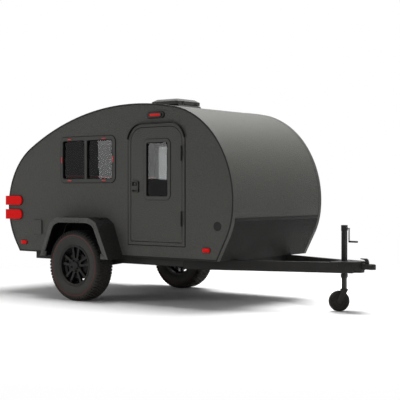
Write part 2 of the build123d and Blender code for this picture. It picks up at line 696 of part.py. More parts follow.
def build_wheels():
    """Tyre, spoked rim and hub with its brake drum, turned about Y and then set out to the side."""
    bead_y = RIM_HALF_WIDTH - RIM_WALL - SEAT_CLEARANCE
    bead = BEAD_RADIUS + SEAT_CLEARANCE
    bulge = (BEAD_RADIUS + TYRE_RADIUS) / 2
    outer = [(bead_y, bead), (bead_y, RIM_FLANGE_RADIUS + SEAT_CLEARANCE), (TYRE_WIDTH / 2, bulge),
             (TREAD_FLAT / 2, TYRE_RADIUS)]
    tyre = turned(outer + mirrored(outer))
    flange_y = RIM_HALF_WIDTH
    well = BEAD_RADIUS - RIM_WALL
    drop = well - RIM_DROP
    outside = [(flange_y, RIM_FLANGE_RADIUS), (flange_y - RIM_WALL, RIM_FLANGE_RADIUS),
               (flange_y - RIM_WALL, BEAD_RADIUS), (RIM_DROP_Y[1], BEAD_RADIUS), (RIM_DROP_Y[0], BEAD_RADIUS - RIM_DROP)]
    inside = [(-flange_y, well), (-RIM_DROP_Y[1], well), (-RIM_DROP_Y[0], drop), (RIM_DROP_Y[0], drop),
              (RIM_DROP_Y[1], well), (flange_y - RIM_WALL / 2, well), (flange_y, well + RIM_WALL)]
    rim = turned(outside + mirrored(outside) + inside)
    pad = (Pos(0, SPOKE_FACE - PAD_DEPTH / 2, 0) * Rot(90, 0, 0) * Cylinder(PAD_RADIUS, PAD_DEPTH))
    rim += pad
    for pair in range(SPOKES // 2):
        for lean in (-1, 1):
            rim += spoke(pair * 720 / SPOKES, lean)
    rim -= Rot(90, 0, 0) * Cylinder(CAP_RADIUS + SEAT_CLEARANCE, 4 * RIM_HALF_WIDTH)
    hub_out = SPOKE_FACE - PAD_DEPTH
    drum_in = hub_out - DRUM_DEPTH
    cap_out = SPOKE_FACE + CAP_PROUD
    hub = lathe([(0, cap_out), (CAP_RADIUS - CAP_EDGE, cap_out), (CAP_RADIUS, cap_out - CAP_EDGE),
                 (CAP_RADIUS, hub_out), (DRUM_RADIUS, hub_out), (DRUM_RADIUS, drum_in + 2 * DRUM_RIB),
                 (DRUM_RADIUS + DRUM_RIB, drum_in + DRUM_RIB), (DRUM_RADIUS + DRUM_RIB, drum_in),
                 (HUB_BARREL_RADIUS, drum_in), (HUB_BARREL_RADIUS, hub_out - HUB_LENGTH), (0, hub_out - HUB_LENGTH)])
    bore_depth = HUB_LENGTH - HUB_WALL
    bore = Pos(0, hub_out - HUB_LENGTH + bore_depth / 2 - 1, 0) * Rot(90, 0, 0)
    hub -= bore * Cylinder(SPINDLE_RADIUS + RUNNING_CLEARANCE, bore_depth + 2)
    place = Pos(0, WHEEL_Y, TYRE_RADIUS)
    for name, piece in (("tyre", tyre), ("wheel_rim", rim), ("wheel_hub", hub)):
        save_pair(name, place * piece)


def mirrored(points):
    """The same points on the other side of the wheel's middle, in reverse order."""
    return [(-y, radius) for y, radius in reversed(points)]


def turned(points):
    """Ring turned about Y from a section whose points are distance along Y and radius."""
    return revolve(make_face(Polyline(*[(radius, y, 0) for y, radius in points], close=True)), Axis.Y)


def lathe(points):
    """Solid turned about Y from a section whose points are radius and distance along Y."""
    return revolve(make_face(Polyline(*[(radius, y, 0) for radius, y in points], close=True)), Axis.Y)


def spoke(angle, lean):
    """One spoke of a pair: it starts beside its partner at the hub and spreads to the rim."""
    inner = SPOKE_INNER_RADIUS
    outer = BEAD_RADIUS - RIM_WALL - 1
    plan = Polyline(
        (lean * SPOKE_HUB_GAP, inner),
        (lean * (SPOKE_HUB_GAP + SPOKE_HUB_WIDTH), inner),
        (lean * (SPOKE_RIM_GAP + SPOKE_RIM_WIDTH), outer),
        (lean * SPOKE_RIM_GAP, outer),
        close=True,
    )
    bar = extrude(Plane.XZ * make_face(plan), amount=SPOKE_DEPTH, dir=(0, -1, 0))
    return Rot(0, angle, 0) * Pos(0, SPOKE_FACE, 0) * bar


def build_suspension():
    """Trailing arm with its spindle, its pivot bracket and its air spring."""
    half = ARM_WIDTH / 2
    pivot = Pos(ARM_PIVOT_X, ARM_PIVOT_Z) * Circle(ARM_PIVOT_RADIUS)
    axle = Pos(0, TYRE_RADIUS) * Circle(ARM_AXLE_RADIUS)
    tail = Pos(ARM_TAIL_X, TYRE_RADIUS) * Circle(ARM_TAIL_RADIUS)
    outline = make_hull((pivot + axle).edges()) + make_hull((axle + tail).edges())
    arm = across(side_view(outline), ARM_Y - half, ARM_Y + half)
    hole = side_view(Pos(ARM_PIVOT_X, ARM_PIVOT_Z) * Circle(PIVOT_BOLT_RADIUS + RUNNING_CLEARANCE))
    arm -= across(hole, 0, FAR)
    arm += block((ARM_TAIL_X - half, ARM_TAIL_X + half), (ARM_Y - half, ARM_Y + half),
                 (TYRE_RADIUS, TYRE_RADIUS + ARM_AXLE_RADIUS))
    spindle_end = WHEEL_Y + SPOKE_FACE - PAD_DEPTH - 14
    spindle = side_view(Pos(0, TYRE_RADIUS) * Circle(SPINDLE_RADIUS))
    arm += across(spindle, ARM_Y, spindle_end)
    save("trailing_arms", *both_sides(arm))
    plate = make_hull((pivot + Pos(ARM_PIVOT_X, FLOOR_Z - 10) * Rectangle(80, 20)).edges())
    bracket = across(side_view(Pos(ARM_PIVOT_X, ARM_PIVOT_Z) * Circle(PIVOT_BOLT_RADIUS)),
                     ARM_Y - half - BRACKET_GAP - BRACKET_THICKNESS, ARM_Y + half + BRACKET_GAP + BRACKET_THICKNESS)
    for y_from in (ARM_Y - half - BRACKET_GAP - BRACKET_THICKNESS, ARM_Y + half + BRACKET_GAP):
        bracket += across(side_view(plate), y_from, y_from + BRACKET_THICKNESS)
    save("arm_brackets", *both_sides(bracket))
    base = TYRE_RADIUS + ARM_AXLE_RADIUS
    height = (FLOOR_Z - base) / SPRING_FOLDS
    spring = None
    for fold in range(SPRING_FOLDS):
        low = base + fold * height
        section = Polyline(
            (0, low), (SPRING_RADIUS - SPRING_FOLD_DEPTH, low), (SPRING_RADIUS, low + height / 2),
            (SPRING_RADIUS - SPRING_FOLD_DEPTH, low + height), (0, low + height), close=True,
        )
        part = revolve(Plane.XZ * make_face(section), Axis.Z)
        spring = part if spring is None else spring + part
    seat = Pos(ARM_TAIL_X, ARM_Y, 0)
    save("air_springs", *both_sides(seat * spring))


def build_chassis():
    """Side rails, cross members and the drawbar."""
    rails = block((RAIL_REAR_X, DRAWBAR_JOINT_X), (RAIL_INNER_Y, RAIL_OUTER_Y), (RAIL_BASE_Z, FLOOR_Z))
    save("side_rails", *both_sides(rails))
    crosses = []
    for x in CROSS_MEMBERS_X:
        crosses.append(block((x - CROSS_WIDTH / 2, x + CROSS_WIDTH / 2), (-RAIL_INNER_Y, RAIL_INNER_Y),
                             (RAIL_BASE_Z, FLOOR_Z)))
    slope = math.tan(math.radians(DRAWBAR_ANGLE))
    across_width = DRAWBAR_WIDTH / math.cos(math.radians(DRAWBAR_ANGLE))
    front_y = RAIL_OUTER_Y - slope * (DRAWBAR_FRONT_X - DRAWBAR_JOINT_X)
    plan = Polyline(
        (DRAWBAR_JOINT_X, RAIL_OUTER_Y),
        (DRAWBAR_JOINT_X, RAIL_OUTER_Y - across_width),
        (DRAWBAR_FRONT_X, front_y - across_width),
        (DRAWBAR_FRONT_X, front_y),
        close=True,
    )
    bar = extrude(Pos(0, 0, DRAWBAR_BASE_Z) * make_face(plan), amount=DRAWBAR_DEPTH, dir=(0, 0, 1))
    save("drawbar_rails", *both_sides(bar))
    front = [
        (FRONT_CROSS_X, drawbar_inner(FRONT_CROSS_X)),
        (FRONT_CROSS_X + CROSS_WIDTH, drawbar_inner(FRONT_CROSS_X + CROSS_WIDTH)),
    ]
    plan = Polyline(front[0], front[1], (front[1][0], -front[1][1]), (front[0][0], -front[0][1]), close=True)
    crosses.append(extrude(Pos(0, 0, RAIL_BASE_Z) * make_face(plan), amount=RAIL_DEPTH, dir=(0, 0, 1)))
    wide = drawbar_inner(PLATE_X[0])
    narrow = drawbar_inner(PLATE_X[1])
    plan = Polyline((PLATE_X[0], wide), (PLATE_X[1], narrow), (PLATE_X[1], -narrow), (PLATE_X[0], -wide), close=True)
    plate = make_face(plan) - Pos(JACK_X, 0) * Rectangle(JACK_TUBE_WIDTH, JACK_TUBE_WIDTH)
    top = extrude(Pos(0, 0, FLOOR_Z - PLATE_DROP) * plate, amount=JACK_PLATE_THICKNESS, dir=(0, 0, -1))
    low = extrude(Pos(0, 0, DRAWBAR_BASE_Z + PLATE_DROP) * plate, amount=JACK_PLATE_THICKNESS, dir=(0, 0, 1))
    save("cross_members", *crosses, top, low)


def drawbar_inner(x):
    """Distance to the side of the drawbar rails' inner faces, at a distance along X."""
    angle = math.radians(DRAWBAR_ANGLE)
    return RAIL_OUTER_Y - DRAWBAR_WIDTH / math.cos(angle) - math.tan(angle) * (x - DRAWBAR_JOINT_X)


def build_coupler():
    """Ball coupler on its tongue block, and its latch."""
    half = drawbar_inner(TONGUE_BLOCK_X[0])
    narrow = drawbar_inner(DRAWBAR_FRONT_X)
    low = DRAWBAR_BASE_Z + PLATE_DROP
    plan = Polyline((TONGUE_BLOCK_X[0], half), (DRAWBAR_FRONT_X, narrow), (TONGUE_BLOCK_X[1], COUPLER_WIDTH / 2),
                    (TONGUE_BLOCK_X[1], -COUPLER_WIDTH / 2), (DRAWBAR_FRONT_X, -narrow),
                    (TONGUE_BLOCK_X[0], -half), close=True)
    tongue = extrude(Pos(0, 0, low) * make_face(plan), amount=COUPLER_BASE_Z - low, dir=(0, 0, 1))
    side = Polyline(
        (COUPLER_REAR_X, COUPLER_BASE_Z), (BALL_SOCKET_X, COUPLER_BASE_Z), (BALL_SOCKET_X, COUPLER_TOP_Z),
        (BALL_SOCKET_X - COUPLER_HEAD_RADIUS, COUPLER_TOP_Z), (COUPLER_REAR_X + 40, FLOOR_Z - 2),
        (COUPLER_REAR_X, FLOOR_Z - 2), close=True,
    )
    body = across(side_view(make_face(side)), -COUPLER_WIDTH / 2, COUPLER_WIDTH / 2)
    head_height = COUPLER_TOP_Z - COUPLER_BASE_Z
    head = Pos(BALL_SOCKET_X, 0, COUPLER_BASE_Z + head_height / 2) * Cylinder(COUPLER_HEAD_RADIUS, head_height)
    head = fillet(head.edges().group_by(Axis.Z)[-1], COUPLER_EDGE)
    body += head
    body -= Pos(BALL_SOCKET_X, 0, COUPLER_BASE_Z + BALL_SOCKET_DEPTH / 2 - 1) * Cylinder(
        BALL_SOCKET_RADIUS, BALL_SOCKET_DEPTH + 2)
    save("coupler", body + tongue)
    lever = Polyline(
        (LATCH_X[0], LATCH_BASE_Z), (LATCH_X[1], LATCH_BASE_Z - 8), (LATCH_X[1], LATCH_BASE_Z + 12),
        (LATCH_X[0] + 30, LATCH_TOP_Z), (LATCH_X[0], LATCH_TOP_Z), close=True,
    )
    latch = across(side_view(make_face(lever)), -LATCH_HALF, LATCH_HALF)
    latch -= body
    save("coupler_latch", latch)


def build_jack():
    """Tongue jack: square outer tube and cap, crank, sliding leg, and a caster that swivels."""
    tube = block_at(JACK_X, JACK_TUBE_WIDTH, (JACK_TUBE_BASE_Z, JACK_TUBE_TOP_Z))
    bore = JACK_TUBE_WIDTH - 2 * JACK_TUBE_WALL
    collar = block_at(JACK_X, JACK_COLLAR_WIDTH, JACK_COLLAR_Z)
    tube = (tube + collar) - block_at(JACK_X, bore, (JACK_TUBE_BASE_Z - 1, JACK_TUBE_TOP_Z + 1))
    cap = block_at(JACK_X, JACK_CAP_WIDTH, (JACK_TUBE_TOP_Z, JACK_CAP_TOP_Z))
    cap = fillet(cap.edges().filter_by(Axis.Z), JACK_CAP_EDGE)
    save("jack_tube", tube + cap)
    shaft = rod((JACK_X + JACK_CAP_WIDTH / 2, 0, CRANK_SHAFT_Z), (CRANK_X + CRANK_RADIUS, 0, CRANK_SHAFT_Z), CRANK_RADIUS)
    arm = rod((CRANK_X, 0, CRANK_SHAFT_Z), (CRANK_X, 0, CRANK_SHAFT_Z - CRANK_ARM - CRANK_RADIUS), CRANK_RADIUS)
    grip = rod((CRANK_X, 0, CRANK_SHAFT_Z - CRANK_ARM), (CRANK_X + CRANK_GRIP, 0, CRANK_SHAFT_Z - CRANK_ARM),
               CRANK_RADIUS + 2)
    save("jack_crank", shaft + arm + grip)
    leg_foot = FORK_PLATE_Z + SWIVEL_GAP
    leg = block_at(JACK_X, JACK_LEG_WIDTH, (leg_foot, JACK_LEG_TOP_Z))
    leg -= block_at(JACK_X, JACK_LEG_WIDTH - 2 * JACK_LEG_WALL, (leg_foot + 20, JACK_LEG_TOP_Z + 1))
    pin_foot = FORK_PLATE_Z - FORK_PLATE_THICKNESS - 8
    leg += Pos(JACK_X, 0, (leg_foot + pin_foot) / 2) * Cylinder(SWIVEL_PIN_RADIUS, leg_foot - pin_foot)
    save("jack_leg", leg)
    fork_half = CASTER_WIDTH / 2 + FORK_SIDE_GAP
    plate = Pos(0, 0, FORK_PLATE_Z - FORK_PLATE_THICKNESS / 2) * Cylinder(FORK_PLATE_RADIUS, FORK_PLATE_THICKNESS)
    eye = Pos(-CASTER_TRAIL, CASTER_RADIUS) * Circle(CASTER_HUB_RADIUS)
    crown_z = FORK_PLATE_Z - FORK_PLATE_THICKNESS
    crown = Pos(0, crown_z - 2) * Rectangle(1.6 * FORK_PLATE_RADIUS, 4)
    cheek = side_view(make_hull((eye + crown).edges()))
    fork = plate
    for side in (-1, 1):
        y = side * (fork_half + FORK_WALL / 2)
        fork += across(cheek, y - FORK_WALL / 2, y + FORK_WALL / 2)
    fork += block((-0.8 * FORK_PLATE_RADIUS, 0.8 * FORK_PLATE_RADIUS), (-fork_half, fork_half), (crown_z - 4, crown_z))
    bolt = side_view(Pos(-CASTER_TRAIL, CASTER_RADIUS) * Circle(CASTER_AXLE_RADIUS))
    fork += across(bolt, -fork_half - FORK_WALL - 6, fork_half + FORK_WALL + 6)
    fork -= Cylinder(SWIVEL_PIN_RADIUS + RUNNING_CLEARANCE, FAR)
    section = [(-CASTER_WIDTH / 2, CASTER_AXLE_RADIUS + RUNNING_CLEARANCE), (-CASTER_WIDTH / 2, CASTER_HUB_RADIUS),
               (-CASTER_WIDTH / 2 + 8, CASTER_HUB_RADIUS + 6), (-CASTER_WIDTH / 2 + 8, CASTER_RADIUS - 30),
               (-CASTER_WIDTH / 2, CASTER_RADIUS - 24), (-CASTER_WIDTH / 2, CASTER_RADIUS - 8),
               (-CASTER_WIDTH / 2 + 8, CASTER_RADIUS)]
    wheel = turned(section + mirrored(section))
    place = Pos(JACK_X, 0, 0) * Rot(0, 0, CASTER_YAW)
    save("caster_fork", place * fork)
    save("caster_wheel", place * Pos(-CASTER_TRAIL, 0, CASTER_RADIUS) * wheel)


def block_at(x, width, z_range):
    """Square post on the centre line."""
    return block((x - width / 2, x + width / 2), (-width / 2, width / 2), z_range)


def build_lamps():
    """Tail lamps round the rear corners, low markers, and oval upper lamps in their bezels."""
    corner_trim = across(shell_face(0) - shell_face(TRIM_WIDTH, SILL_TRIM), 0, TRIM_OUT_Y)
    lamps = []
    for low, high in TAIL_LAMPS_Z:
        half = (high - low) / 2
        nose = Pos(LAMP_FRONT_X - half, low + half) * Circle(half)
        back = region((LAMP_REAR_X, LAMP_FRONT_X - half), (low, high))
        lamp = across(side_view(nose) + back, LAMP_INNER_Y, LAMP_OUT_Y)
        corner = lamp.edges().filter_by(Axis.Z).sort_by(Axis.X)[0:2].sort_by(Axis.Y)[-1]
        lamp = fillet(corner, LAMP_CORNER)
        lamp -= across(shell_face(TRIM_WIDTH, SILL_TRIM), 0, BODY_HALF_WIDTH)
        lamps.append(lamp - corner_trim)
    save("tail_lamps", *[piece for lamp in lamps for piece in both_sides(lamp)])
    markers = []
    for x, z in MARKERS_AT:
        span_x = (x - MARKER_SIZE[0] / 2, x + MARKER_SIZE[0] / 2)
        span_z = (z - MARKER_SIZE[1] / 2, z + MARKER_SIZE[1] / 2)
        markers.append(across(rounded(span_x, span_z, MARKER_RADIUS), BODY_HALF_WIDTH, BODY_HALF_WIDTH + MARKER_PROUD))
    save("marker_lamps", *[piece for marker in markers for piece in both_sides(marker)])
    place = Pos(*UPPER_LAMP_AT)
    bezel = side_view(place * SlotOverall(*UPPER_LAMP_SIZE))
    lens = side_view(place * SlotOverall(*UPPER_LENS_SIZE))
    bezel = across(bezel, BODY_HALF_WIDTH, BODY_HALF_WIDTH + UPPER_LAMP_PROUD)
    lens = across(lens, BODY_HALF_WIDTH, BODY_HALF_WIDTH + UPPER_LENS_PROUD)
    save("upper_lamp_bezels", *both_sides(bezel - lens))
    save("upper_lamp_lenses", *both_sides(lens))
    flap = across(rounded(FLAP_X, FLAP_Z, FLAP_RADIUS), BODY_HALF_WIDTH, BODY_HALF_WIDTH + FLAP_PROUD)
    save("service_flap", mirror(flap, about=Plane.XZ))


def build_vent():
    """Roof vent: a base that spreads down to the roof and a domed lid on two pins."""
    half = VENT_BASE_SIZE / 2
    hole = VENT_OPENING / 2
    foot = Pos(VENT_X, 0, VENT_BASE_TOP_Z - VENT_BASE_HEIGHT) * Rectangle(VENT_FOOT_SIZE, VENT_FOOT_SIZE)
    rim = Pos(VENT_X, 0, VENT_BASE_TOP_Z) * Rectangle(VENT_BASE_SIZE, VENT_BASE_SIZE)
    base = loft([foot, rim], ruled=True)
    base -= block((VENT_X - hole, VENT_X + hole), (-hole, hole), (0, FAR))
    base -= across(shell_face(SKIN_INSET), -FAR, FAR)
    hinge_x = VENT_X + half - VENT_HINGE_IN
    hinge_z = VENT_BASE_TOP_Z + VENT_HINGE_UP
    lid_half = VENT_SIZE / 2
    lid_x = (hinge_x + VENT_LID_LIP - VENT_LID_LENGTH, hinge_x + VENT_LID_LIP)
    lid = lid_shape(lid_x, lid_half, 0) - lid_shape(grown(lid_x, -VENT_LID_WALL), lid_half - VENT_LID_WALL, VENT_LID_WALL)
    eye = (hinge_x - VENT_EYE_RADIUS, hinge_x + VENT_EYE_RADIUS)
    lug_top = VENT_LID_TOP_Z - VENT_DOME
    for side in (-1, 1):
        y = side * VENT_HINGE_Y
        around_y = (y - VENT_EYE_HALF, y + VENT_EYE_HALF)
        ear = block(eye, around_y, (VENT_BASE_TOP_Z, hinge_z))
        ear += vent_rod(hinge_x, hinge_z, VENT_EYE_RADIUS, around_y)
        ear += vent_rod(hinge_x, hinge_z, VENT_PIN_RADIUS, (y - VENT_LUG_OUT - VENT_LUG_HALF, y + VENT_LUG_OUT + VENT_LUG_HALF))
        base += ear
        lid -= block((eye[0], eye[1] + VENT_LID_WALL), (y - VENT_NOTCH_HALF, y + VENT_NOTCH_HALF),
                     (0, lug_top - 2 * VENT_LID_WALL))
        for lug_y in (y - VENT_LUG_OUT, y + VENT_LUG_OUT):
            around_lug = (lug_y - VENT_LUG_HALF, lug_y + VENT_LUG_HALF)
            lug = vent_rod(hinge_x, hinge_z, VENT_EYE_RADIUS, around_lug) + block(eye, around_lug, (hinge_z, lug_top))
            lid += lug - vent_rod(hinge_x, hinge_z, VENT_PIN_RADIUS + RUNNING_CLEARANCE, (-FAR, FAR))
    save("vent_base", base)
    save("vent_lid", lid)


def vent_rod(x, z, radius, y_range):
    """Round bar along Y, for the vent's eyes and pins."""
    return across(side_view(Pos(x, z) * Circle(radius)), *y_range)


def lid_shape(x_range, half, lower):
    """Domed closed block: straight rim, then a tapered crown."""
    rim_top = VENT_LID_TOP_Z - VENT_DOME - lower
    width = x_range[1] - x_range[0]
    plan = Pos(sum(x_range) / 2, 0) * RectangleRounded(width, 2 * half, VENT_CORNER)
    rim = extrude(Pos(0, 0, VENT_LID_EDGE_Z - (1 if lower else 0)) * plan,
                  amount=rim_top - VENT_LID_EDGE_Z + (1 if lower else 0), dir=(0, 0, 1))
    crown_plan = Pos(sum(x_range) / 2, 0) * RectangleRounded(width - 2 * VENT_CROWN_IN, 2 * (half - VENT_CROWN_IN),
                                                            VENT_CORNER)
    crown = loft([Pos(0, 0, rim_top) * plan, Pos(0, 0, VENT_LID_TOP_Z - lower) * crown_plan], ruled=True)
    return rim + crown


def build_inside():
    """Galley bulkhead, counter, cabin shelf and the mattress."""
    half = CABIN_HALF_WIDTH - BOARD_CLEARANCE
    inner = shell_face(SKIN_INNER + BOARD_CLEARANCE, FLOOR_THICKNESS)
    front = (BULKHEAD_X, BULKHEAD_X + BULKHEAD_THICKNESS)
    save("galley_bulkhead", across(inner & region(front, (0, FAR)), -half, half))
    counter = region((BULKHEAD_X - COUNTER_DEPTH, BULKHEAD_X), (COUNTER_Z - COUNTER_THICKNESS, COUNTER_Z))
    shelf = region((front[1], SHELF_FRONT_X), (SHELF_Z - SHELF_THICKNESS, SHELF_Z))
    save("galley_shelves", across(counter, -half, half), across(shelf, -half, half))
    span = MATTRESS_HALF_WIDTH
    mattress = block(MATTRESS_X, (-span, span), (FLOOR_TOP_Z, FLOOR_TOP_Z + MATTRESS_THICKNESS))
    mattress = fillet(mattress.edges().filter_by(Axis.Z), MATTRESS_CORNER)
    save("mattress", mattress)


def main():
    """Build every node of the trailer."""
    os.makedirs("parts", exist_ok=True)
    build_shell()
    build_hatch()
    build_window()
    build_door()
    build_fender()
    build_wheels()
    build_suspension()
    build_chassis()
    build_coupler()
    build_jack()
    build_lamps()
    build_vent()
    build_inside()


main()
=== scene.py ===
"""Off-road teardrop camping trailer: its surface finishes and small trim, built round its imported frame."""

import json
import logging
import math
from collections.abc import Callable
from dataclasses import dataclass
from enum import Enum

import bmesh
import bpy
from mathutils import Matrix, Vector


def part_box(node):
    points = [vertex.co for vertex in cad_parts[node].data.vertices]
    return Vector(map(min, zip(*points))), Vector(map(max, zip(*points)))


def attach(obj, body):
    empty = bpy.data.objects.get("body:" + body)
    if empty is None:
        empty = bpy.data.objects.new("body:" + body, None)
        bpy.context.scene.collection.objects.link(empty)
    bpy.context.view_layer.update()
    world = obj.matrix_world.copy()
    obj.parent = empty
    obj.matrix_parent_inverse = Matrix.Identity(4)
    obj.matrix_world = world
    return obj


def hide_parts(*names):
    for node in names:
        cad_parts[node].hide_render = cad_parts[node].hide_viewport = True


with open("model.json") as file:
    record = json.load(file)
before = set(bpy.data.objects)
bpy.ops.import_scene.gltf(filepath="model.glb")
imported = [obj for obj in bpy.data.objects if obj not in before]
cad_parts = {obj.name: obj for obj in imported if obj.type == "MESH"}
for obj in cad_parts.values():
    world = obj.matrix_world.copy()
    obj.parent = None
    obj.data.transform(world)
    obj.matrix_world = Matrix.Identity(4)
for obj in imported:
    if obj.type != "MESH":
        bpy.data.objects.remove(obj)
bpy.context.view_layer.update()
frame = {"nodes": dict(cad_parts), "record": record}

LOG = logging.getLogger("teardrop")

# Places in the frame, in metres: the axle, the wheels and the side walls' outer faces
AXLE_X = -0.8865
WHEEL_Z = 0.372
WHEEL_Y = 0.8635
WALL_Y = 0.796


def srgb(red: int, green: int, blue: int) -> tuple[float, float, float, float]:
    """Linear colour of a colour written in display values from 0 to 255.

    Args:
        red: Display value of red.
        green: Display value of green.
        blue: Display value of blue.

    Returns:
        The linear colour with full alpha.
    """
    linear = []
    for value in (red, green, blue):
        share = value / 255
        linear.append(share / 12.92 if share <= 0.04045 else ((share + 0.055) / 1.055) ** 2.4)
    return (linear[0], linear[1], linear[2], 1.0)


class Side(Enum):
    """Side of the trailer, as the sign of its Y."""

    LEFT = 1
    RIGHT = -1

    @property
    def word(self) -> str:
        """The side's name as the frame's nodes and bodies write it."""
        return self.name.lower()


class Grain(Enum):
    """Kinds of fine surface relief that a finish can have."""

    POWDER = "powder coat"
    MOULDED = "moulded grain"
    CAST = "cast metal"
    RUBBER = "rubber"
    SMOOTH = "smooth"


def feed(tree: bpy.types.ShaderNodeTree, node: bpy.types.ShaderNode, inputs: dict[str | int, object]) -> None:
    """Link or set the inputs of a node.

    Args:
        tree: The node's tree.
        node: The node.
        inputs: For each input, by name or index, the socket linked to it or its value.
    """
    for key, value in inputs.items():
        if isinstance(value, bpy.types.NodeSocket):
            tree.links.new(value, node.inputs[key])
        else:
            node.inputs[key].default_value = value


def add_node(tree: bpy.types.ShaderNodeTree, kind: str, inputs: dict[str | int, object],
             **settings: object) -> bpy.types.ShaderNode:
    """Add a shader node.

    Args:
        tree: Tree that gets the node.
        kind: The node's type, without ShaderNode before it.
        inputs: What feed does with the inputs.
        settings: Properties of the node.

    Returns:
        The node.
    """
    node = tree.nodes.new(f"ShaderNode{kind}")
    for name, value in settings.items():
        setattr(node, name, value)
    feed(tree, node, inputs)
    return node


def combine(tree: bpy.types.ShaderNodeTree, operation: str, *values: object) -> bpy.types.NodeSocket:
    """Add a math node.

    Args:
        tree: Tree that gets the node.
        operation: Name of the operation.
        values: Sockets or numbers, in the order of the node's inputs.

    Returns:
        The node's output socket.
    """
    return add_node(tree, "Math", dict(enumerate(values)), operation=operation).outputs[0]


class Effects:
    """Shader node groups that several finishes share."""

    def __init__(self) -> None:
        """Build each group once."""
        self.grain = self._grain()
        self.dust = self._dust()
        self.weave = self._weave()

    @staticmethod
    def _group(name: str, inputs: dict[str, float], outputs: tuple[str, ...]) -> bpy.types.ShaderNodeTree:
        """Start a group with number inputs beside its vector, and number outputs.

        Args:
            name: Name of the group.
            inputs: Default value of each number input.
            outputs: Names of the outputs.

        Returns:
            The group's tree with its input and output nodes named in and out.
        """
        tree = bpy.data.node_groups.new(name, "ShaderNodeTree")
        tree.interface.new_socket("Vector", in_out="INPUT", socket_type="NodeSocketVector")
        for label, value in inputs.items():
            socket = tree.interface.new_socket(label, in_out="INPUT", socket_type="NodeSocketFloat")
            socket.default_value = value
        for label in outputs:
            tree.interface.new_socket(label, in_out="OUTPUT", socket_type="NodeSocketFloat")
        tree.nodes.new("NodeGroupInput").name = "in"
        tree.nodes.new("NodeGroupOutput").name = "out"
        return tree

    def _grain(self) -> bpy.types.ShaderNodeTree:
        """Fine relief and a mottled tone.

        Returns:
            The group.
        """
        tree = self._group("surface grain", {"Scale": 400.0, "Cells": 0.5, "Tone Scale": 3.0},
                           ("Height", "Tone"))
        given = tree.nodes["in"].outputs
        place = given["Vector"]
        noise = add_node(tree, "TexNoise", {"Vector": place, "Scale": given["Scale"], "Detail": 3.0})
        coarser = combine(tree, "MULTIPLY", given["Scale"], 0.6)
        cells = add_node(tree, "TexVoronoi", {"Vector": place, "Scale": coarser})
        share = combine(tree, "MULTIPLY", cells.outputs["Distance"], given["Cells"])
        tone = add_node(tree, "TexNoise", {"Vector": place, "Scale": given["Tone Scale"], "Detail": 5.0,
                                           "Roughness": 0.6})
        height = combine(tree, "ADD", noise.outputs[0], share)
        feed(tree, tree.nodes["out"], {"Height": height, "Tone": tone.outputs[0]})
        return tree

    def _dust(self) -> bpy.types.ShaderNodeTree:
        """Road dust that thickens towards the ground.

        Returns:
            The group.
        """
        tree = self._group("road dust", {"Top": 1.0, "Amount": 0.3}, ("Mask",))
        given = tree.nodes["in"].outputs
        parts = add_node(tree, "SeparateXYZ", {0: given["Vector"]})
        height = combine(tree, "DIVIDE", parts.outputs["Z"], given["Top"])
        drop = combine(tree, "MAXIMUM", combine(tree, "SUBTRACT", 1.0, height), 0.0)
        noise = add_node(tree, "TexNoise", {"Vector": given["Vector"], "Scale": 9.0, "Detail": 6.0})
        cloud = combine(tree, "MULTIPLY", drop, noise.outputs[0])
        feed(tree, tree.nodes["out"], {"Mask": combine(tree, "MULTIPLY", cloud, given["Amount"])})
        return tree

    def _weave(self) -> bpy.types.ShaderNodeTree:
        """Plain weave of crossing threads.

        Returns:
            The group.
        """
        tree = self._group("plain weave", {"Threads": 900.0}, ("Height",))
        given = tree.nodes["in"].outputs
        parts = add_node(tree, "SeparateXYZ", {0: given["Vector"]})
        waves = []
        for axis in ("X", "Y", "Z"):
            turned = combine(tree, "MULTIPLY", parts.outputs[axis], given["Threads"])
            waves.append(combine(tree, "ABSOLUTE", combine(tree, "SINE", turned)))
        crossed = combine(tree, "MULTIPLY", waves[0], waves[1])
        height = combine(tree, "ADD", crossed, combine(tree, "MULTIPLY", waves[2], 0.5))
        feed(tree, tree.nodes["out"], {"Height": height})
        return tree


DUST_COLOUR = srgb(120, 112, 98)


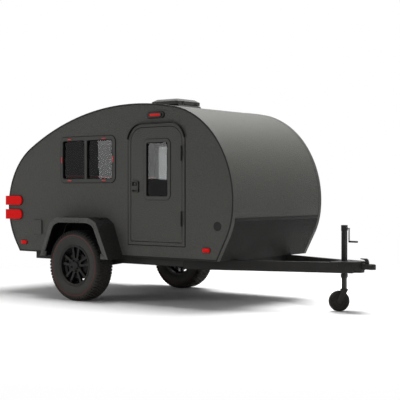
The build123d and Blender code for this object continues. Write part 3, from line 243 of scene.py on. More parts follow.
@dataclass(frozen=True)
class Finish:
    """One surface finish: its colour and gloss, its relief and how uneven and dusty it is."""

    name: str
    colour: tuple[float, float, float, float]
    roughness: float = 0.5
    metallic: float = 0.0
    grain: Grain = Grain.SMOOTH
    relief: float = 0.2
    grain_scale: float = 500.0
    variation: float = 0.12
    tone_scale: float = 4.0
    roughness_spread: float = 0.1
    dust: float = 0.0
    dust_top: float = 1.0
    coat: float = 0.0
    emission: float = 0.0
    sheen: float = 0.0
    specular: float = 0.16
    ior: float = 1.45
    coat_roughness: float = 0.08
    tone_span: tuple[float, float] = (0.3, 0.7)

    def build(self, effects: Effects) -> bpy.types.Material:
        """Make the material.

        Args:
            effects: The shared node groups.

        Returns:
            The material, with its Principled BSDF named surface.
        """
        material = bpy.data.materials.new(self.name)
        material.use_nodes = True
        tree = material.node_tree
        shader = tree.nodes["Principled BSDF"]
        shader.name = "surface"
        place = tree.nodes.new("ShaderNodeTexCoord").outputs["Object"]
        grain = tree.nodes.new("ShaderNodeGroup")
        grain.node_tree = effects.grain
        feed(tree, grain, {"Vector": place, "Scale": self.grain_scale, "Tone Scale": self.tone_scale,
                           "Cells": 1.0 if self.grain in (Grain.MOULDED, Grain.CAST) else 0.2})
        tone = grain.outputs["Tone"]
        darker = tuple(value * (1 - self.variation) for value in self.colour[:3]) + (1.0,)
        lighter = tuple(min(1.0, value * (1 + self.variation)) for value in self.colour[:3]) + (1.0,)
        colour = self._mix(tree, tone, darker, lighter)
        if self.dust:
            dust = tree.nodes.new("ShaderNodeGroup")
            dust.node_tree = effects.dust
            feed(tree, dust, {"Vector": place, "Top": self.dust_top, "Amount": self.dust})
            colour = self._mix(tree, dust.outputs["Mask"], colour, DUST_COLOUR)
        rough = add_node(tree, "MapRange", {
            "Value": tone, "From Min": self.tone_span[0], "From Max": self.tone_span[1],
            "To Min": max(0.02, self.roughness - self.roughness_spread),
            "To Max": min(1.0, self.roughness + self.roughness_spread)})
        feed(tree, shader, {
            "Base Color": colour, "Roughness": rough.outputs[0], "Metallic": self.metallic, "IOR": self.ior,
            "Coat Weight": self.coat, "Coat Roughness": self.coat_roughness, "Sheen Weight": self.sheen,
            "Specular IOR Level": self.specular})
        if self.grain is not Grain.SMOOTH:
            bump = add_node(tree, "Bump", {"Height": grain.outputs["Height"], "Strength": self.relief,
                                           "Distance": 0.5 / self.grain_scale})
            feed(tree, shader, {"Normal": bump.outputs[0]})
        if self.emission:
            feed(tree, shader, {"Emission Color": self.colour, "Emission Strength": self.emission})
        return material

    @staticmethod
    def _mix(tree: bpy.types.ShaderNodeTree, factor: bpy.types.NodeSocket, first: object,
             second: object) -> bpy.types.NodeSocket:
        """Add a colour mix.

        Args:
            tree: Tree that gets the node.
            factor: Socket that drives the mix.
            first: Colour at zero, or the socket that gives it.
            second: Colour at one.

        Returns:
            The mixed colour's socket.
        """
        return add_node(tree, "Mix", {0: factor, 6: first, 7: second}, data_type="RGBA").outputs[2]


@dataclass
class Studio:
    """Camera at the photograph's place, a pale floor and plain soft light."""

    camera_place: tuple[float, float, float] = (6.645, -8.4285, 1.1743)
    azimuth: float = 38.06
    pitch: float = 0.60
    lens: float = 89.78
    sensor: float = 36.0
    far_end: float = 200.0
    aim: tuple[float, float, float] = (0.0, 0.0, 0.9)
    lamps: tuple[tuple[str, tuple[float, float, float], float, float], ...] = (
        # name, place, size in metres, watts
        ("overhead_softbox", (0.5, 0.9, 6.5), 4.5, 840.0),
        ("front_softbox", (6.5, 2.4, 4.0), 3.0, 14.0),
        ("side_softbox", (-5.0, -7.0, 2.6), 2.5, 125.0),
    )
    world_light: float = 0.20
    floor_half: float = 40.0
    floor_clear: tuple[float, float] = (2.6, 5.5)
    floor_grey: float = 0.95
    floor_roughness: float = 0.9

    def build(self) -> None:
        """Make the camera, the lamps, the world and the floor."""
        self._camera()
        for name, place, size, watts in self.lamps:
            self._lamp(name, Vector(place), size, watts)
        self._world()
        self._floor()
        bpy.context.scene.view_settings.view_transform = "Standard"

    def _camera(self) -> None:
        """Stand the camera where the photograph was taken from."""
        azimuth = math.radians(self.azimuth)
        pitch = math.radians(self.pitch)
        level = Vector((math.sin(azimuth), -math.cos(azimuth), 0.0)) * math.cos(pitch)
        back = level + Vector((0.0, 0.0, math.sin(pitch)))
        right = Vector((math.cos(azimuth), math.sin(azimuth), 0.0))
        turned = Matrix((right, back.cross(right), back)).transposed().to_4x4()
        data = bpy.data.cameras.new("photo camera")
        data.lens = self.lens
        data.sensor_width = self.sensor
        data.clip_end = self.far_end
        camera = bpy.data.objects.new("photo_camera", data)
        camera.matrix_world = Matrix.Translation(Vector(self.camera_place)) @ turned
        bpy.context.scene.collection.objects.link(camera)
        bpy.context.scene.camera = camera

    def _lamp(self, name: str, place: Vector, size: float, watts: float) -> None:
        """Add a soft area lamp that points at the trailer.

        Args:
            name: Name of the lamp.
            place: Where it hangs.
            size: Edge of its square.
            watts: Its power.
        """
        data = bpy.data.lights.new(name, "AREA")
        data.size = size
        data.energy = watts
        lamp = bpy.data.objects.new(name, data)
        turned = (Vector(self.aim) - place).to_track_quat("-Z", "Y").to_matrix().to_4x4()
        lamp.matrix_world = Matrix.Translation(place) @ turned
        bpy.context.scene.collection.objects.link(lamp)

    @staticmethod
    def _seen_directly(tree: bpy.types.ShaderNodeTree) -> bpy.types.NodeSocket:
        """Factor that is 1 for what the camera, a mirror or glass sees.

        Args:
            tree: Tree that gets the nodes.

        Returns:
            The factor's socket.
        """
        rays = tree.nodes.new("ShaderNodeLightPath").outputs
        mirrored = combine(tree, "MAXIMUM", rays["Is Camera Ray"], rays["Is Glossy Ray"])
        return combine(tree, "MAXIMUM", mirrored, rays["Is Transmission Ray"])

    def _world(self) -> None:
        """White where it is seen, and a plain soft grey as light."""
        world = bpy.data.worlds.new("studio world")
        bpy.context.scene.world = world
        world.use_nodes = True
        tree = world.node_tree
        white = (1.0, 1.0, 1.0, 1.0)
        light = tree.nodes["Background"]
        feed(tree, light, {"Color": white, "Strength": self.world_light})
        seen = add_node(tree, "Background", {"Color": white, "Strength": 1.0})
        factor = self._seen_directly(tree)
        mix = add_node(tree, "MixShader", {0: factor, 1: light.outputs[0], 2: seen.outputs[0]})
        feed(tree, tree.nodes["World Output"], {"Surface": mix.outputs[0]})

    def _floor(self) -> None:
        """Pale floor that keeps the trailer's shadow and runs out into white."""
        shape = bmesh.new()
        bmesh.ops.create_grid(shape, x_segments=1, y_segments=1, size=self.floor_half)
        mesh = bpy.data.meshes.new("studio floor")
        shape.to_mesh(mesh)
        shape.free()
        floor = bpy.data.objects.new("studio_floor", mesh)
        bpy.context.scene.collection.objects.link(floor)
        material = bpy.data.materials.new("studio floor")
        material.use_nodes = True
        tree = material.node_tree
        shader = tree.nodes["Principled BSDF"]
        grey = (self.floor_grey, self.floor_grey, self.floor_grey, 1.0)
        feed(tree, shader, {"Base Color": grey, "Roughness": self.floor_roughness})
        place = tree.nodes.new("ShaderNodeTexCoord").outputs["Object"]
        reach = add_node(tree, "VectorMath", {0: place}, operation="LENGTH").outputs["Value"]
        clear = add_node(tree, "MapRange", {"Value": reach, "From Min": self.floor_clear[0],
                                            "From Max": self.floor_clear[1]})
        factor = combine(tree, "MULTIPLY", self._seen_directly(tree), clear.outputs[0])
        white = tree.nodes.new("ShaderNodeEmission")
        mix = add_node(tree, "MixShader", {0: factor, 1: shader.outputs[0], 2: white.outputs[0]})
        feed(tree, tree.nodes["Material Output"], {"Surface": mix.outputs[0]})
        mesh.materials.append(material)


FINISHES = (
    # name, colour, roughness, metallic, grain, relief, grain scale, variation, tone scale, roughness spread,
    # dust, height in metres at which the dust ends
    Finish("shell_paint", srgb(70, 70, 67), 0.55, 0.0, Grain.POWDER, 1.0, 90.0, 0.4, 90.0, 0.06, 0.05, 1.0),
    Finish("lining", srgb(52, 52, 50), 0.8, 0.0, Grain.MOULDED, 0.3, 300.0, 0.05, 3.0, 0.05),
    # Darker lower front panel, painted darker still as painted shade where it faces down and forward
    Finish("dark_panel", srgb(34, 34, 33), 0.6, 0.0, Grain.POWDER, 0.9, 90.0, 0.4, 90.0, 0.08, 0.03, 0.9,
           specular=0.08),
    # Near-black trim; on the door visors it is painted shade under their overhang
    Finish("edge_metal", srgb(20, 20, 19), 0.5, 0.0, Grain.POWDER, 0.15, 500.0, 0.06, 4.0, 0.08, 0.06, 0.8),
    Finish("frame_black", srgb(32, 32, 32), 0.42, 0.0, Grain.POWDER, 0.12, 600.0, 0.08, 6.0, 0.08),
    Finish("frame_paint", srgb(58, 58, 56), 0.45, 0.0, Grain.POWDER, 0.3, 300.0, 0.08, 20.0, 0.08),
    Finish("hinge_black", srgb(24, 24, 24), 0.45, 0.0, Grain.POWDER, 0.2, 600.0, 0.08, 8.0, 0.08),
    Finish("seal_rubber", srgb(16, 16, 16), 0.75, 0.0, Grain.RUBBER, 0.2, 500.0, 0.1, 8.0, 0.08),
    # Near black that stands for painted shade: the fenders' hollows, the wheel wells, the wall's wheel
    # opening and the sheets inside the fenders
    Finish("inside_black", srgb(14, 14, 14), 0.85, 0.0, Grain.MOULDED, 0.3, 300.0, 0.1, 4.0, 0.08,
           specular=0.1),
    Finish("fender_plastic", srgb(26, 26, 25), 0.6, 0.0, Grain.MOULDED, 1.0, 80.0, 0.6, 80.0, 0.1, 0.03, 0.9,
           specular=0.1),
    Finish("fender_lip", srgb(80, 80, 78), 0.6, 0.0, Grain.MOULDED, 1.0, 80.0, 0.6, 80.0, 0.1, 0.03, 0.9),
    Finish("tyre_rubber", srgb(38, 38, 37), 0.8, 0.0, Grain.RUBBER, 0.25, 420.0, 0.12, 6.0, 0.08, 0.25, 0.6),
    Finish("tyre_side", srgb(46, 46, 44), 0.55, 0.0, Grain.RUBBER, 0.2, 420.0, 0.1, 6.0, 0.08, 0.12, 0.6),
    Finish("tyre_ring", srgb(128, 42, 42), 0.65, 0.0, Grain.RUBBER, 0.2, 420.0, 0.08, 6.0, 0.08),
    Finish("wheel_black", srgb(28, 28, 28), 0.28, 0.3, Grain.CAST, 0.12, 500.0, 0.08, 8.0, 0.08, 0.08, 0.7),
    Finish("hub_steel", srgb(30, 30, 30), 0.5, 0.4, Grain.CAST, 0.15, 500.0, 0.1, 10.0, 0.1),
    Finish("chassis_black", srgb(30, 30, 30), 0.5, 0.0, Grain.POWDER, 0.25, 300.0, 0.1, 4.0, 0.1, 0.12, 0.7),
    Finish("jack_steel", srgb(40, 40, 40), 0.38, 0.6, Grain.CAST, 0.1, 500.0, 0.1, 9.0, 0.1, 0.08, 0.6),
    Finish("spring_rubber", srgb(24, 24, 24), 0.7, 0.0, Grain.RUBBER, 0.25, 400.0, 0.1, 9.0, 0.1, 0.15, 0.6),
    Finish("floor_board", srgb(30, 30, 30), 0.7, 0.0, Grain.MOULDED, 0.4, 200.0, 0.1, 4.0, 0.1),
    Finish("vent_plastic", srgb(60, 60, 59), 0.55, 0.0, Grain.MOULDED, 0.25, 300.0, 0.06, 5.0, 0.08),
    Finish("clip_red", srgb(176, 34, 32), 0.4, 0.0, Grain.MOULDED, 0.15, 600.0, 0.05, 8.0, 0.06,
           specular=0.4),
    Finish("crank_steel", srgb(120, 120, 120), 0.4, 0.7, Grain.CAST, 0.1, 800.0, 0.1, 20.0, 0.1),
    Finish("zinc_bolt", srgb(60, 60, 60), 0.4, 0.7, Grain.CAST, 0.1, 800.0, 0.1, 20.0, 0.1),
)


class Library:
    """The finished materials by name."""

    def __init__(self) -> None:
        """Build the groups and every finish."""
        self.effects = Effects()
        self.made = {finish.name: finish.build(self.effects) for finish in FINISHES}
        self.made["tinted_glass"] = self._glass()
        self.made["lamp_red"] = self._lens()
        self.made["galley_wood"] = self._wood()
        self.made["mattress_fabric"] = self._fabric()

    def __getitem__(self, name: str) -> bpy.types.Material:
        """The material of that name."""
        return self.made[name]

    @staticmethod
    def _glass() -> bpy.types.Material:
        """Dark tinted acrylic.

        Returns:
            The material.
        """
        material = bpy.data.materials.new("tinted_glass")
        material.use_nodes = True
        shader = material.node_tree.nodes["Principled BSDF"]
        feed(material.node_tree, shader, {
            "Base Color": srgb(172, 174, 174), "Roughness": 0.0, "Metallic": 0.0, "Transmission Weight": 1.0,
            "IOR": 1.2})
        return material

    @staticmethod
    def _relieve(material: bpy.types.Material, height: bpy.types.NodeSocket, strength: float,
                 depth: float) -> None:
        """Bump a finish by a height of its own.

        Args:
            material: The finish.
            height: Socket of the height.
            strength: Strength of the bump.
            depth: Its depth in metres.
        """
        tree = material.node_tree
        bump = add_node(tree, "Bump", {"Height": height, "Strength": strength, "Distance": depth})
        feed(tree, tree.nodes["surface"], {"Normal": bump.outputs[0]})

    def _lens(self) -> bpy.types.Material:
        """Clear red lens with fine ribs behind its face.

        Returns:
            The material.
        """
        lens = Finish("lamp_red", srgb(202, 5, 5), 0.3, variation=0.06, roughness_spread=0.05, emission=0.1,
                      specular=0.1)
        material = lens.build(self.effects)
        tree = material.node_tree
        place = tree.nodes.new("ShaderNodeTexCoord").outputs["Object"]
        wave = add_node(tree, "TexWave", {"Vector": place, "Scale": 28.0}, wave_type="BANDS",
                        bands_direction="Z")
        self._relieve(material, wave.outputs[1], 0.35, 0.002)
        return material

    def _wood(self) -> bpy.types.Material:
        """Lacquered plywood with its grain along Y.

        Returns:
            The material.
        """
        wood = Finish("galley_wood", srgb(176, 140, 98), 0.4, variation=0.12, coat=0.3)
        material = wood.build(self.effects)
        tree = material.node_tree
        place = tree.nodes.new("ShaderNodeTexCoord").outputs["Object"]
        drawn = add_node(tree, "Mapping", {"Vector": place, "Scale": (18.0, 1.2, 18.0)}).outputs[0]
        noise = add_node(tree, "TexNoise", {"Vector": drawn, "Scale": 4.0, "Detail": 8.0, "Distortion": 0.6})
        ramp = add_node(tree, "ValToRGB", {0: noise.outputs[0]})
        for index, (position, colour) in enumerate(((0.35, srgb(146, 108, 70)), (0.65, srgb(196, 160, 116)))):
            ramp.color_ramp.elements[index].position = position
            ramp.color_ramp.elements[index].color = colour
        feed(tree, tree.nodes["surface"], {"Base Color": ramp.outputs[0]})
        return material

    def _fabric(self) -> bpy.types.Material:
        """Woven grey cover of the mattress.

        Returns:
            The material.
        """
        cloth = Finish("mattress_fabric", srgb(150, 150, 146), 0.9, variation=0.1, tone_scale=12.0, sheen=0.3)
        material = cloth.build(self.effects)
        tree = material.node_tree
        place = tree.nodes.new("ShaderNodeTexCoord").outputs["Object"]
        weave = tree.nodes.new("ShaderNodeGroup")
        weave.node_tree = self.effects.weave
        feed(tree, weave, {"Vector": place, "Threads": 1400.0})
        self._relieve(material, weave.outputs["Height"], 0.4, 0.001)
        return material


def soften(shape: bmesh.types.BMesh, edges: list[bmesh.types.BMEdge], width: float, segments: int,
           clamp: bool = True) -> None:
    """Bevel edges of a shape.

    Args:
        shape: The shape.
        edges: The edges.
        width: Width of the bevel in metres.
        segments: Segments across it.
        clamp: Whether the bevel stops where it would meet another.
    """
    bmesh.ops.bevel(shape, geom=edges, offset=width, offset_type="OFFSET", segments=segments, profile=0.5,
                    affect="EDGES", clamp_overlap=clamp, material=-1)


Paint = Callable[[bmesh.types.BMFace], int]


class Workshop:
    """Makes pieces from bmesh shapes and hands them to the frame."""

    # Degrees above which an edge is eased, metres between points that merge, and degrees within which faces
    # are one flat face
    edge_angle = 35.0
    merge_distance = 2e-5
    flat_angle = 0.3
    # Degrees between which a corner is blunt; least share of Y along an edge that runs across the trailer
    blunt_angles = (9.0, 50.0)
    across = 0.6

    def __init__(self, library: Library) -> None:
        """Keep the finishes and the body of every CAD node.

        Args:
            library: The finished materials.
        """
        self.library = library
        self.body_of_node: dict[str, str] = {}
        for body, nodes in frame["record"]["behaviour"]["bodies"].items():
            for node in nodes:
                self.body_of_node[node] = body

    def piece(self, name: str, shape: bmesh.types.BMesh, body: str, slot: str,
              finishes: tuple[str, ...] = (), sharp: float = 30.0) -> bpy.types.Object:
        """Turn a shape into a finished piece that rides on a body.

        Args:
            name: Name of the piece.
            shape: The shape, in the frame's metres. It is freed.
            body: Body that carries the piece.
            slot: The record's material slot.
            finishes: Materials by face index; the slot's own where empty.
            sharp: Angle in degrees above which an edge stays sharp.

        Returns:
            The piece.
        """
        mesh = bpy.data.meshes.new(name)
        for face in shape.faces:
            face.smooth = True
        shape.to_mesh(mesh)
        shape.free()
        mesh.set_sharp_from_angle(angle=math.radians(sharp))
        for finish in finishes or (slot,):
            mesh.materials.append(self.library[finish])
        made = bpy.data.objects.new(name, mesh)
        bpy.context.scene.collection.objects.link(made)
        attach(made, body)
        LOG.info("%s: %d faces on %s", name, len(mesh.polygons), body)
        return made

    def dressed(self, node: str, slot: str, bevel: float, segments: int = 2, finishes: tuple[str, ...] = (),
                paint: Paint | None = None, corners: float = 0.0,
                slim: tuple[tuple[float, float], float] | None = None) -> bpy.types.Object:
        """Stand a merged copy of a CAD node, with its hard edges eased, in the node's place.

        Args:
            node: Name of the CAD node.
            slot: The record's material slot.
            bevel: Width of the eased edges in metres; none at zero.
            segments: Segments of the eased edges.
            finishes: Materials by face index; the slot's own where empty.
            paint: Gives each face its index; all 0 where None.
            corners: Width of the round given to blunt corners that run across the trailer; none at zero.
            slim: Upright axis and the share that the piece keeps of its width round it; whole where None.

        Returns:
            The piece.
        """
        shape = self.merged(node)
        if paint:
            for face in shape.faces:
                face.material_index = paint(face)
        if corners:
            self._round_corners(shape, corners)
        if slim:
            place, share = slim
            centre = Matrix.Translation((-place[0], -place[1], 0.0))
            bmesh.ops.scale(shape, vec=(share, share, 1.0), space=centre, verts=shape.verts)
        if bevel:
            limit = math.radians(self.edge_angle)
            hard = [edge for edge in shape.edges if edge.is_manifold and edge.calc_face_angle(0.0) > limit]
            soften(shape, hard, bevel, segments)
        made = self.piece(f"{node}_finished", shape, self.body_of_node[node], slot, finishes, self.edge_angle)
        normals = made.modifiers.new("even normals", "WEIGHTED_NORMAL")
        normals.keep_sharp = True
        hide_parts(node)
        return made

    def merged(self, node: str) -> bmesh.types.BMesh:
        """Copy of a CAD node's mesh with its points merged and its flat faces whole.

        Args:
            node: Name of the CAD node.

        Returns:
            The copy.
        """
        shape = bmesh.new()
        shape.from_mesh(frame["nodes"][node].data)
        bmesh.ops.remove_doubles(shape, verts=shape.verts, dist=self.merge_distance)
        bmesh.ops.dissolve_limit(shape, angle_limit=math.radians(self.flat_angle), verts=shape.verts,
                                 edges=shape.edges)
        return shape

    def _round_corners(self, shape: bmesh.types.BMesh, width: float) -> None:
        """Round the blunt corners whose edges run across the trailer, inside the shape's own reach in Y.

        Args:
            shape: The shape.
            width: Width of the round in metres.
        """
        least, most = (math.radians(angle) for angle in self.blunt_angles)
        blunt = []
        for edge in shape.edges:
            along = edge.verts[1].co - edge.verts[0].co
            if edge.is_manifold and abs(along.y) > self.across * along.length:
                if least < edge.calc_face_angle(0.0) < most:
                    blunt.append(edge)
        reach = max(abs(vert.co.y) for vert in shape.verts)
        soften(shape, blunt, width, 4, clamp=False)
        for vert in shape.verts:
            vert.co.y = min(max(vert.co.y, -reach), reach)


@dataclass
class Cladding:
    """The CAD pieces whose shape is right: each gets its finish, and eased edges where the table gives them a
    width.
    """

    workshop: Workshop
    table: tuple[tuple[str, str, float], ...] = (
        # node, slot, width of the eased edges
        ("roof_skin", "shell_paint", 0.0),
        # The lower front panel is darker partly as painted shade
        ("front_lower_panel", "dark_panel", 0.0),
        ("rear_sill", "shell_paint", 0.0),
        ("floor_panel", "floor_board", 0.0),
        ("front_seam_trim", "edge_metal", 0.001),
        ("hatch_hinge_rail", "edge_metal", 0.001),
        ("hatch_panel", "shell_paint", 0.0015),
        ("hatch_handle", "hinge_black", 0.003),
        ("window_frames", "frame_paint", 0.003),
        ("window_glass", "tinted_glass", 0.0),
        ("door_window_frame_left", "shell_paint", 0.003),
        ("door_window_frame_right", "shell_paint", 0.003),
        ("door_glass_left", "tinted_glass", 0.0),
        ("door_glass_right", "tinted_glass", 0.0),
        ("wheel_rim_left", "wheel_black", 0.0025),
        ("wheel_rim_right", "wheel_black", 0.0025),
        ("wheel_hub_left", "hub_steel", 0.0015),
        ("wheel_hub_right", "hub_steel", 0.0015),
        ("trailing_arms", "chassis_black", 0.003),
        ("arm_brackets", "chassis_black", 0.0015),
        ("air_springs", "spring_rubber", 0.003),
        ("side_rails", "chassis_black", 0.005),
        ("cross_members", "chassis_black", 0.002),
        ("drawbar_rails", "chassis_black", 0.005),
        ("coupler", "chassis_black", 0.003),
        ("caster_fork", "chassis_black", 0.001),
        ("caster_wheel", "spring_rubber", 0.003),
        ("tail_lamps", "lamp_red", 0.004),
        ("upper_lamp_bezels", "hinge_black", 0.002),
        ("upper_lamp_lenses", "lamp_red", 0.002),
        ("service_flap", "shell_paint", 0.003),
        ("door_frames", "shell_paint", 0.0015),
        # The door visors are painted near black as painted shade under their overhang
        ("door_visors", "edge_metal", 0.002),
        # The wheel wells are painted near black as painted shade
        ("wheel_wells", "inside_black", 0.0),
        ("vent_base", "vent_plastic", 0.002),
        ("vent_lid", "vent_plastic", 0.003),
        ("galley_shelves", "galley_wood", 0.002),
    )
    # Least share of Y or X in the normal of a face that looks that way, for walls and trims and for fenders
    facing: float = 0.7
    fender_facing: float = 0.8
    fender_lip_y: float = 0.99
    fender_corner: float = 0.034
    # Radius round the wheel and height that hold the wall's wheel opening
    reveal_radius: float = 0.62
    reveal_top: float = 0.95
    # Middle of the hinge pin in X and Y, and the knuckles' radius with some room
    hinge: tuple[float, float] = (AXLE_X + 1.333, 0.811)
    knuckle: float = 0.0095
    # Axis of the jack and the share of the solids' width that its tube and leg keep
    jack: tuple[float, float] = (AXLE_X + 2.700, 0.0)
    jack_share: float = 0.76
    crank_grip_x: float = AXLE_X + 2.762
    # A door handle's front is the flat face with many corners this far out
    handle_corners: int = 12
    handle_front_y: float = 0.814

    def build(self) -> None:
        """Dress every listed node, then those that have more than one finish or another shape."""
        for node, slot, bevel in self.table:
            self.workshop.dressed(node, slot, bevel)
        self.workshop.dressed("edge_trims", "edge_metal", 0.003, finishes=("edge_metal", "shell_paint"),
                              paint=lambda face: 0 if abs(face.normal.y) > self.facing else 1)
        self.workshop.dressed("galley_bulkhead", "galley_wood", 0.001, finishes=("galley_wood", "lining"),
                              paint=lambda face: 1 if face.normal.x > self.facing else 0)
        hinged = ("shell_paint", "hinge_black")
        self.workshop.dressed("door_hinge_knuckles", "hinge_black", 0.001, finishes=hinged,
                              paint=self._hinge_face)
        for node, finish in (("jack_tube", "chassis_black"), ("jack_leg", "jack_steel")):
            self.workshop.dressed(node, finish, 0.004, segments=3, slim=(self.jack, self.jack_share))
        self.workshop.dressed("jack_crank", "jack_steel", 0.001, finishes=("crank_steel", "hinge_black"),
                              paint=lambda face: 1 if face.calc_center_median().x > self.crank_grip_x else 0)
        for side in Side:
            # The wall's wheel opening is painted near black as painted shade
            self.workshop.dressed(f"side_panel_{side.word}", "shell_paint", 0.0,
                                  finishes=("shell_paint", "inside_black", "lining"), paint=self._wall_face)
            self.workshop.dressed(f"door_handle_{side.word}", "hinge_black", 0.0015,
                                  finishes=("hinge_black", "frame_paint"), paint=self._handle_face)
            self.workshop.dressed(f"door_panel_{side.word}", "shell_paint", 0.002, finishes=hinged,
                                  paint=self._hinge_face)
            # The fenders' hollows towards the tyres get painted shade
            self.workshop.dressed(f"fender_{side.word}", "fender_plastic", 0.003, corners=self.fender_corner,
                                  finishes=("fender_plastic", "fender_lip", "inside_black"),
                                  paint=self._fender_face)

    def _handle_face(self, face: bmesh.types.BMFace) -> int:
        """Index of the finish of one face of a door handle.

        Args:
            face: The face.

        Returns:
            1 for the bezel's flat front, 0 for its cup and paddle.
        """
        out = abs(face.calc_center_median().y) > self.handle_front_y
        return 1 if out and len(face.verts) > self.handle_corners else 0

    def _wall_face(self, face: bmesh.types.BMFace) -> int:
        """Index of the finish of one face of a side wall.

        Args:
            face: The face.

        Returns:
            1 for the reveal round the wheel, painted near black as painted shade, 2 for the cabin's side, 0
            for the outside.
        """
        centre = face.calc_center_median()
        if abs(face.normal.y) > self.facing:
            return 2 if face.normal.y * centre.y < 0 else 0
        near = math.hypot(centre.x - AXLE_X, centre.z - WHEEL_Z) < self.reveal_radius
        return 1 if near and centre.z < self.reveal_top else 0

    def _hinge_face(self, face: bmesh.types.BMFace) -> int:
        """Index of the finish of one face of a door or a hinge leaf.

        Args:
            face: The face.

        Returns:
            1 for the knuckles round the pin, 0 for what is painted like the body.
        """
        centre = face.calc_center_median()
        return 1 if math.hypot(centre.x - self.hinge[0], abs(centre.y) - self.hinge[1]) < self.knuckle else 0

    def _fender_face(self, face: bmesh.types.BMFace) -> int:
        """Index of the finish of one face of a fender.

        Args:
            face: The face.

        Returns:
            1 for the lip's face, 2 for the hollow towards the tyre, painted near black as painted shade, 0
            for the rest.
        """
        centre = face.calc_center_median()
        flat = abs(face.normal.y) > self.fender_facing
        if flat and abs(centre.y) > self.fender_lip_y:
            return 1
        inward = Vector((AXLE_X, centre.y, WHEEL_Z)) - centre
        return 2 if flat or face.normal.dot(inward) > 0 else 0


class Forms:
    """Shapes added to a bmesh by its operators, in the frame's metres."""

    @staticmethod
    def block(shape: bmesh.types.BMesh, low: Vector, high: Vector, bevel: float = 0.0) -> None:
        """Add a box between two corners.

        Args:
            shape: The bmesh.
            low: One corner.
            high: The corner across.
            bevel: Width of its eased edges.
        """
        size = high - low
        stretch = Matrix.Diagonal((abs(size.x), abs(size.y), abs(size.z), 1.0))
        place = Matrix.Translation((low + high) / 2) @ stretch
        made = bmesh.ops.create_cube(shape, size=1.0, matrix=place)["verts"]
        if bevel:
            edges = list(dict.fromkeys(edge for vert in made for edge in vert.link_edges))
            soften(shape, edges, bevel, 2)

    @staticmethod
    def rod(shape: bmesh.types.BMesh, start: Vector, end: Vector, radius: float, tip: float | None = None,
            segments: int = 24) -> None:
        """Add a round or many-sided bar.

        Args:
            shape: The bmesh.
            start: Centre of its first end.
            end: Centre of its other end.
            radius: Radius at the first end.
            tip: Radius at the other end; the same where None.
            segments: Number of sides.
        """
        along = end - start
        turn = along.to_track_quat("Z", "Y").to_matrix().to_4x4()
        bmesh.ops.create_cone(shape, cap_ends=True, segments=segments, radius1=radius,
                              radius2=radius if tip is None else tip, depth=along.length,
                              matrix=Matrix.Translation((start + end) / 2) @ turn)

    @staticmethod
    def bolt(shape: bmesh.types.BMesh, foot: Vector, out: Vector, washer: tuple[float, float, float],
             head: tuple[float, float, float]) -> None:
        """Add a bolt's six-sided head over its washer.

        Args:
            shape: The bmesh.
            foot: Middle of the bolt on the surface.
            out: Direction away from the surface.
            washer: How far out it starts and ends, and its radius.
            head: The same of the head.
        """
        for (start, end, radius), sides in ((washer, 24), (head, 6)):
            Forms.rod(shape, foot + start * out, foot + end * out, radius, None, sides)

    @staticmethod
    def prism(shape: bmesh.types.BMesh, outline: list[Vector], along: Vector) -> None:
        """Add a flat outline pulled out along a vector.

        Args:
            shape: The bmesh.
            outline: Corners of the flat face.
            along: The pull.
        """
        face = shape.faces.new([shape.verts.new(corner) for corner in outline])
        pulled = bmesh.ops.extrude_face_region(shape, geom=[face])["geom"]
        ends = [part for part in pulled if isinstance(part, bmesh.types.BMVert)]
        bmesh.ops.translate(shape, vec=along, verts=ends)
        sides = dict.fromkeys([face] + [other for vert in ends for other in vert.link_faces])
        bmesh.ops.recalc_face_normals(shape, faces=list(sides))

    @staticmethod
    def band(shape: bmesh.types.BMesh, outer: list[Vector], inner: list[Vector], along: Vector) -> None:
        """Add a closed band between two outlines of equal length, pulled out along a vector.

        Args:
            shape: The bmesh.
            outer: Outer outline.
            inner: Inner outline.
            along: The pull.
        """
        edges = []
        for outline in (outer, inner):
            verts = [shape.verts.new(corner) for corner in outline]
            for index, vert in enumerate(verts):
                edges.append(shape.edges.new((vert, verts[index - 1])))
        faces = bmesh.ops.bridge_loops(shape, edges=edges)["faces"]
        pulled = bmesh.ops.extrude_face_region(shape, geom=faces)["geom"]
        ends = [part for part in pulled if isinstance(part, bmesh.types.BMVert)]
        bmesh.ops.translate(shape, vec=along, verts=ends)
        around = dict.fromkeys(list(faces) + [other for vert in ends for other in vert.link_faces])
        bmesh.ops.recalc_face_normals(shape, faces=list(around))

    @staticmethod
    def rounded(x_range: tuple[float, float], z_range: tuple[float, float], radius: float, y: float,
                foot: float | None = None, steps: int = 8) -> list[Vector]:
        """Outline of an upright rectangle with round corners.

        Args:
            x_range: Ends along X, in millimetres from the axle.
            z_range: Ends in height, in millimetres.
            radius: Radius of the corners, in millimetres.
            y: Distance to the side, in metres.
            foot: Radius of the two lower corners; the same where None.
            steps: Straight parts of each round corner.

        Returns:
            The outline's corners in metres.
        """
        low = radius if foot is None else foot
        points = []
        corners = ((1, 1, 0, radius), (0, 1, 90, radius), (0, 0, 180, low), (1, 0, 270, low))
        for end_x, end_z, turn, size in corners:
            centre_x = x_range[end_x] + (size if end_x == 0 else -size)
            centre_z = z_range[end_z] + (size if end_z == 0 else -size)
            for step in range(steps + 1):
                angle = math.radians(turn + step * 90 / steps)
                points.append(at(centre_x + size * math.cos(angle), y, centre_z + size * math.sin(angle)))
        return points


def at(x: float, y: float, z: float) -> Vector:
    """Point of the frame from distances in millimetres along X from the axle and in height.

    Args:
        x: Millimetres ahead of the axle.
        y: Metres to the side.
        z: Millimetres over the ground.

    Returns:
        The point in the frame's metres.
    """
    return Vector((AXLE_X + x / 1000, y, z / 1000))


def wider(span: tuple[float, float], by: float) -> tuple[float, float]:
    """A span made longer at both ends.

    Args:
        span: The two ends.
        by: What each end moves outwards.

    Returns:
        The new ends.
    """
    return (span[0] - by, span[1] + by)


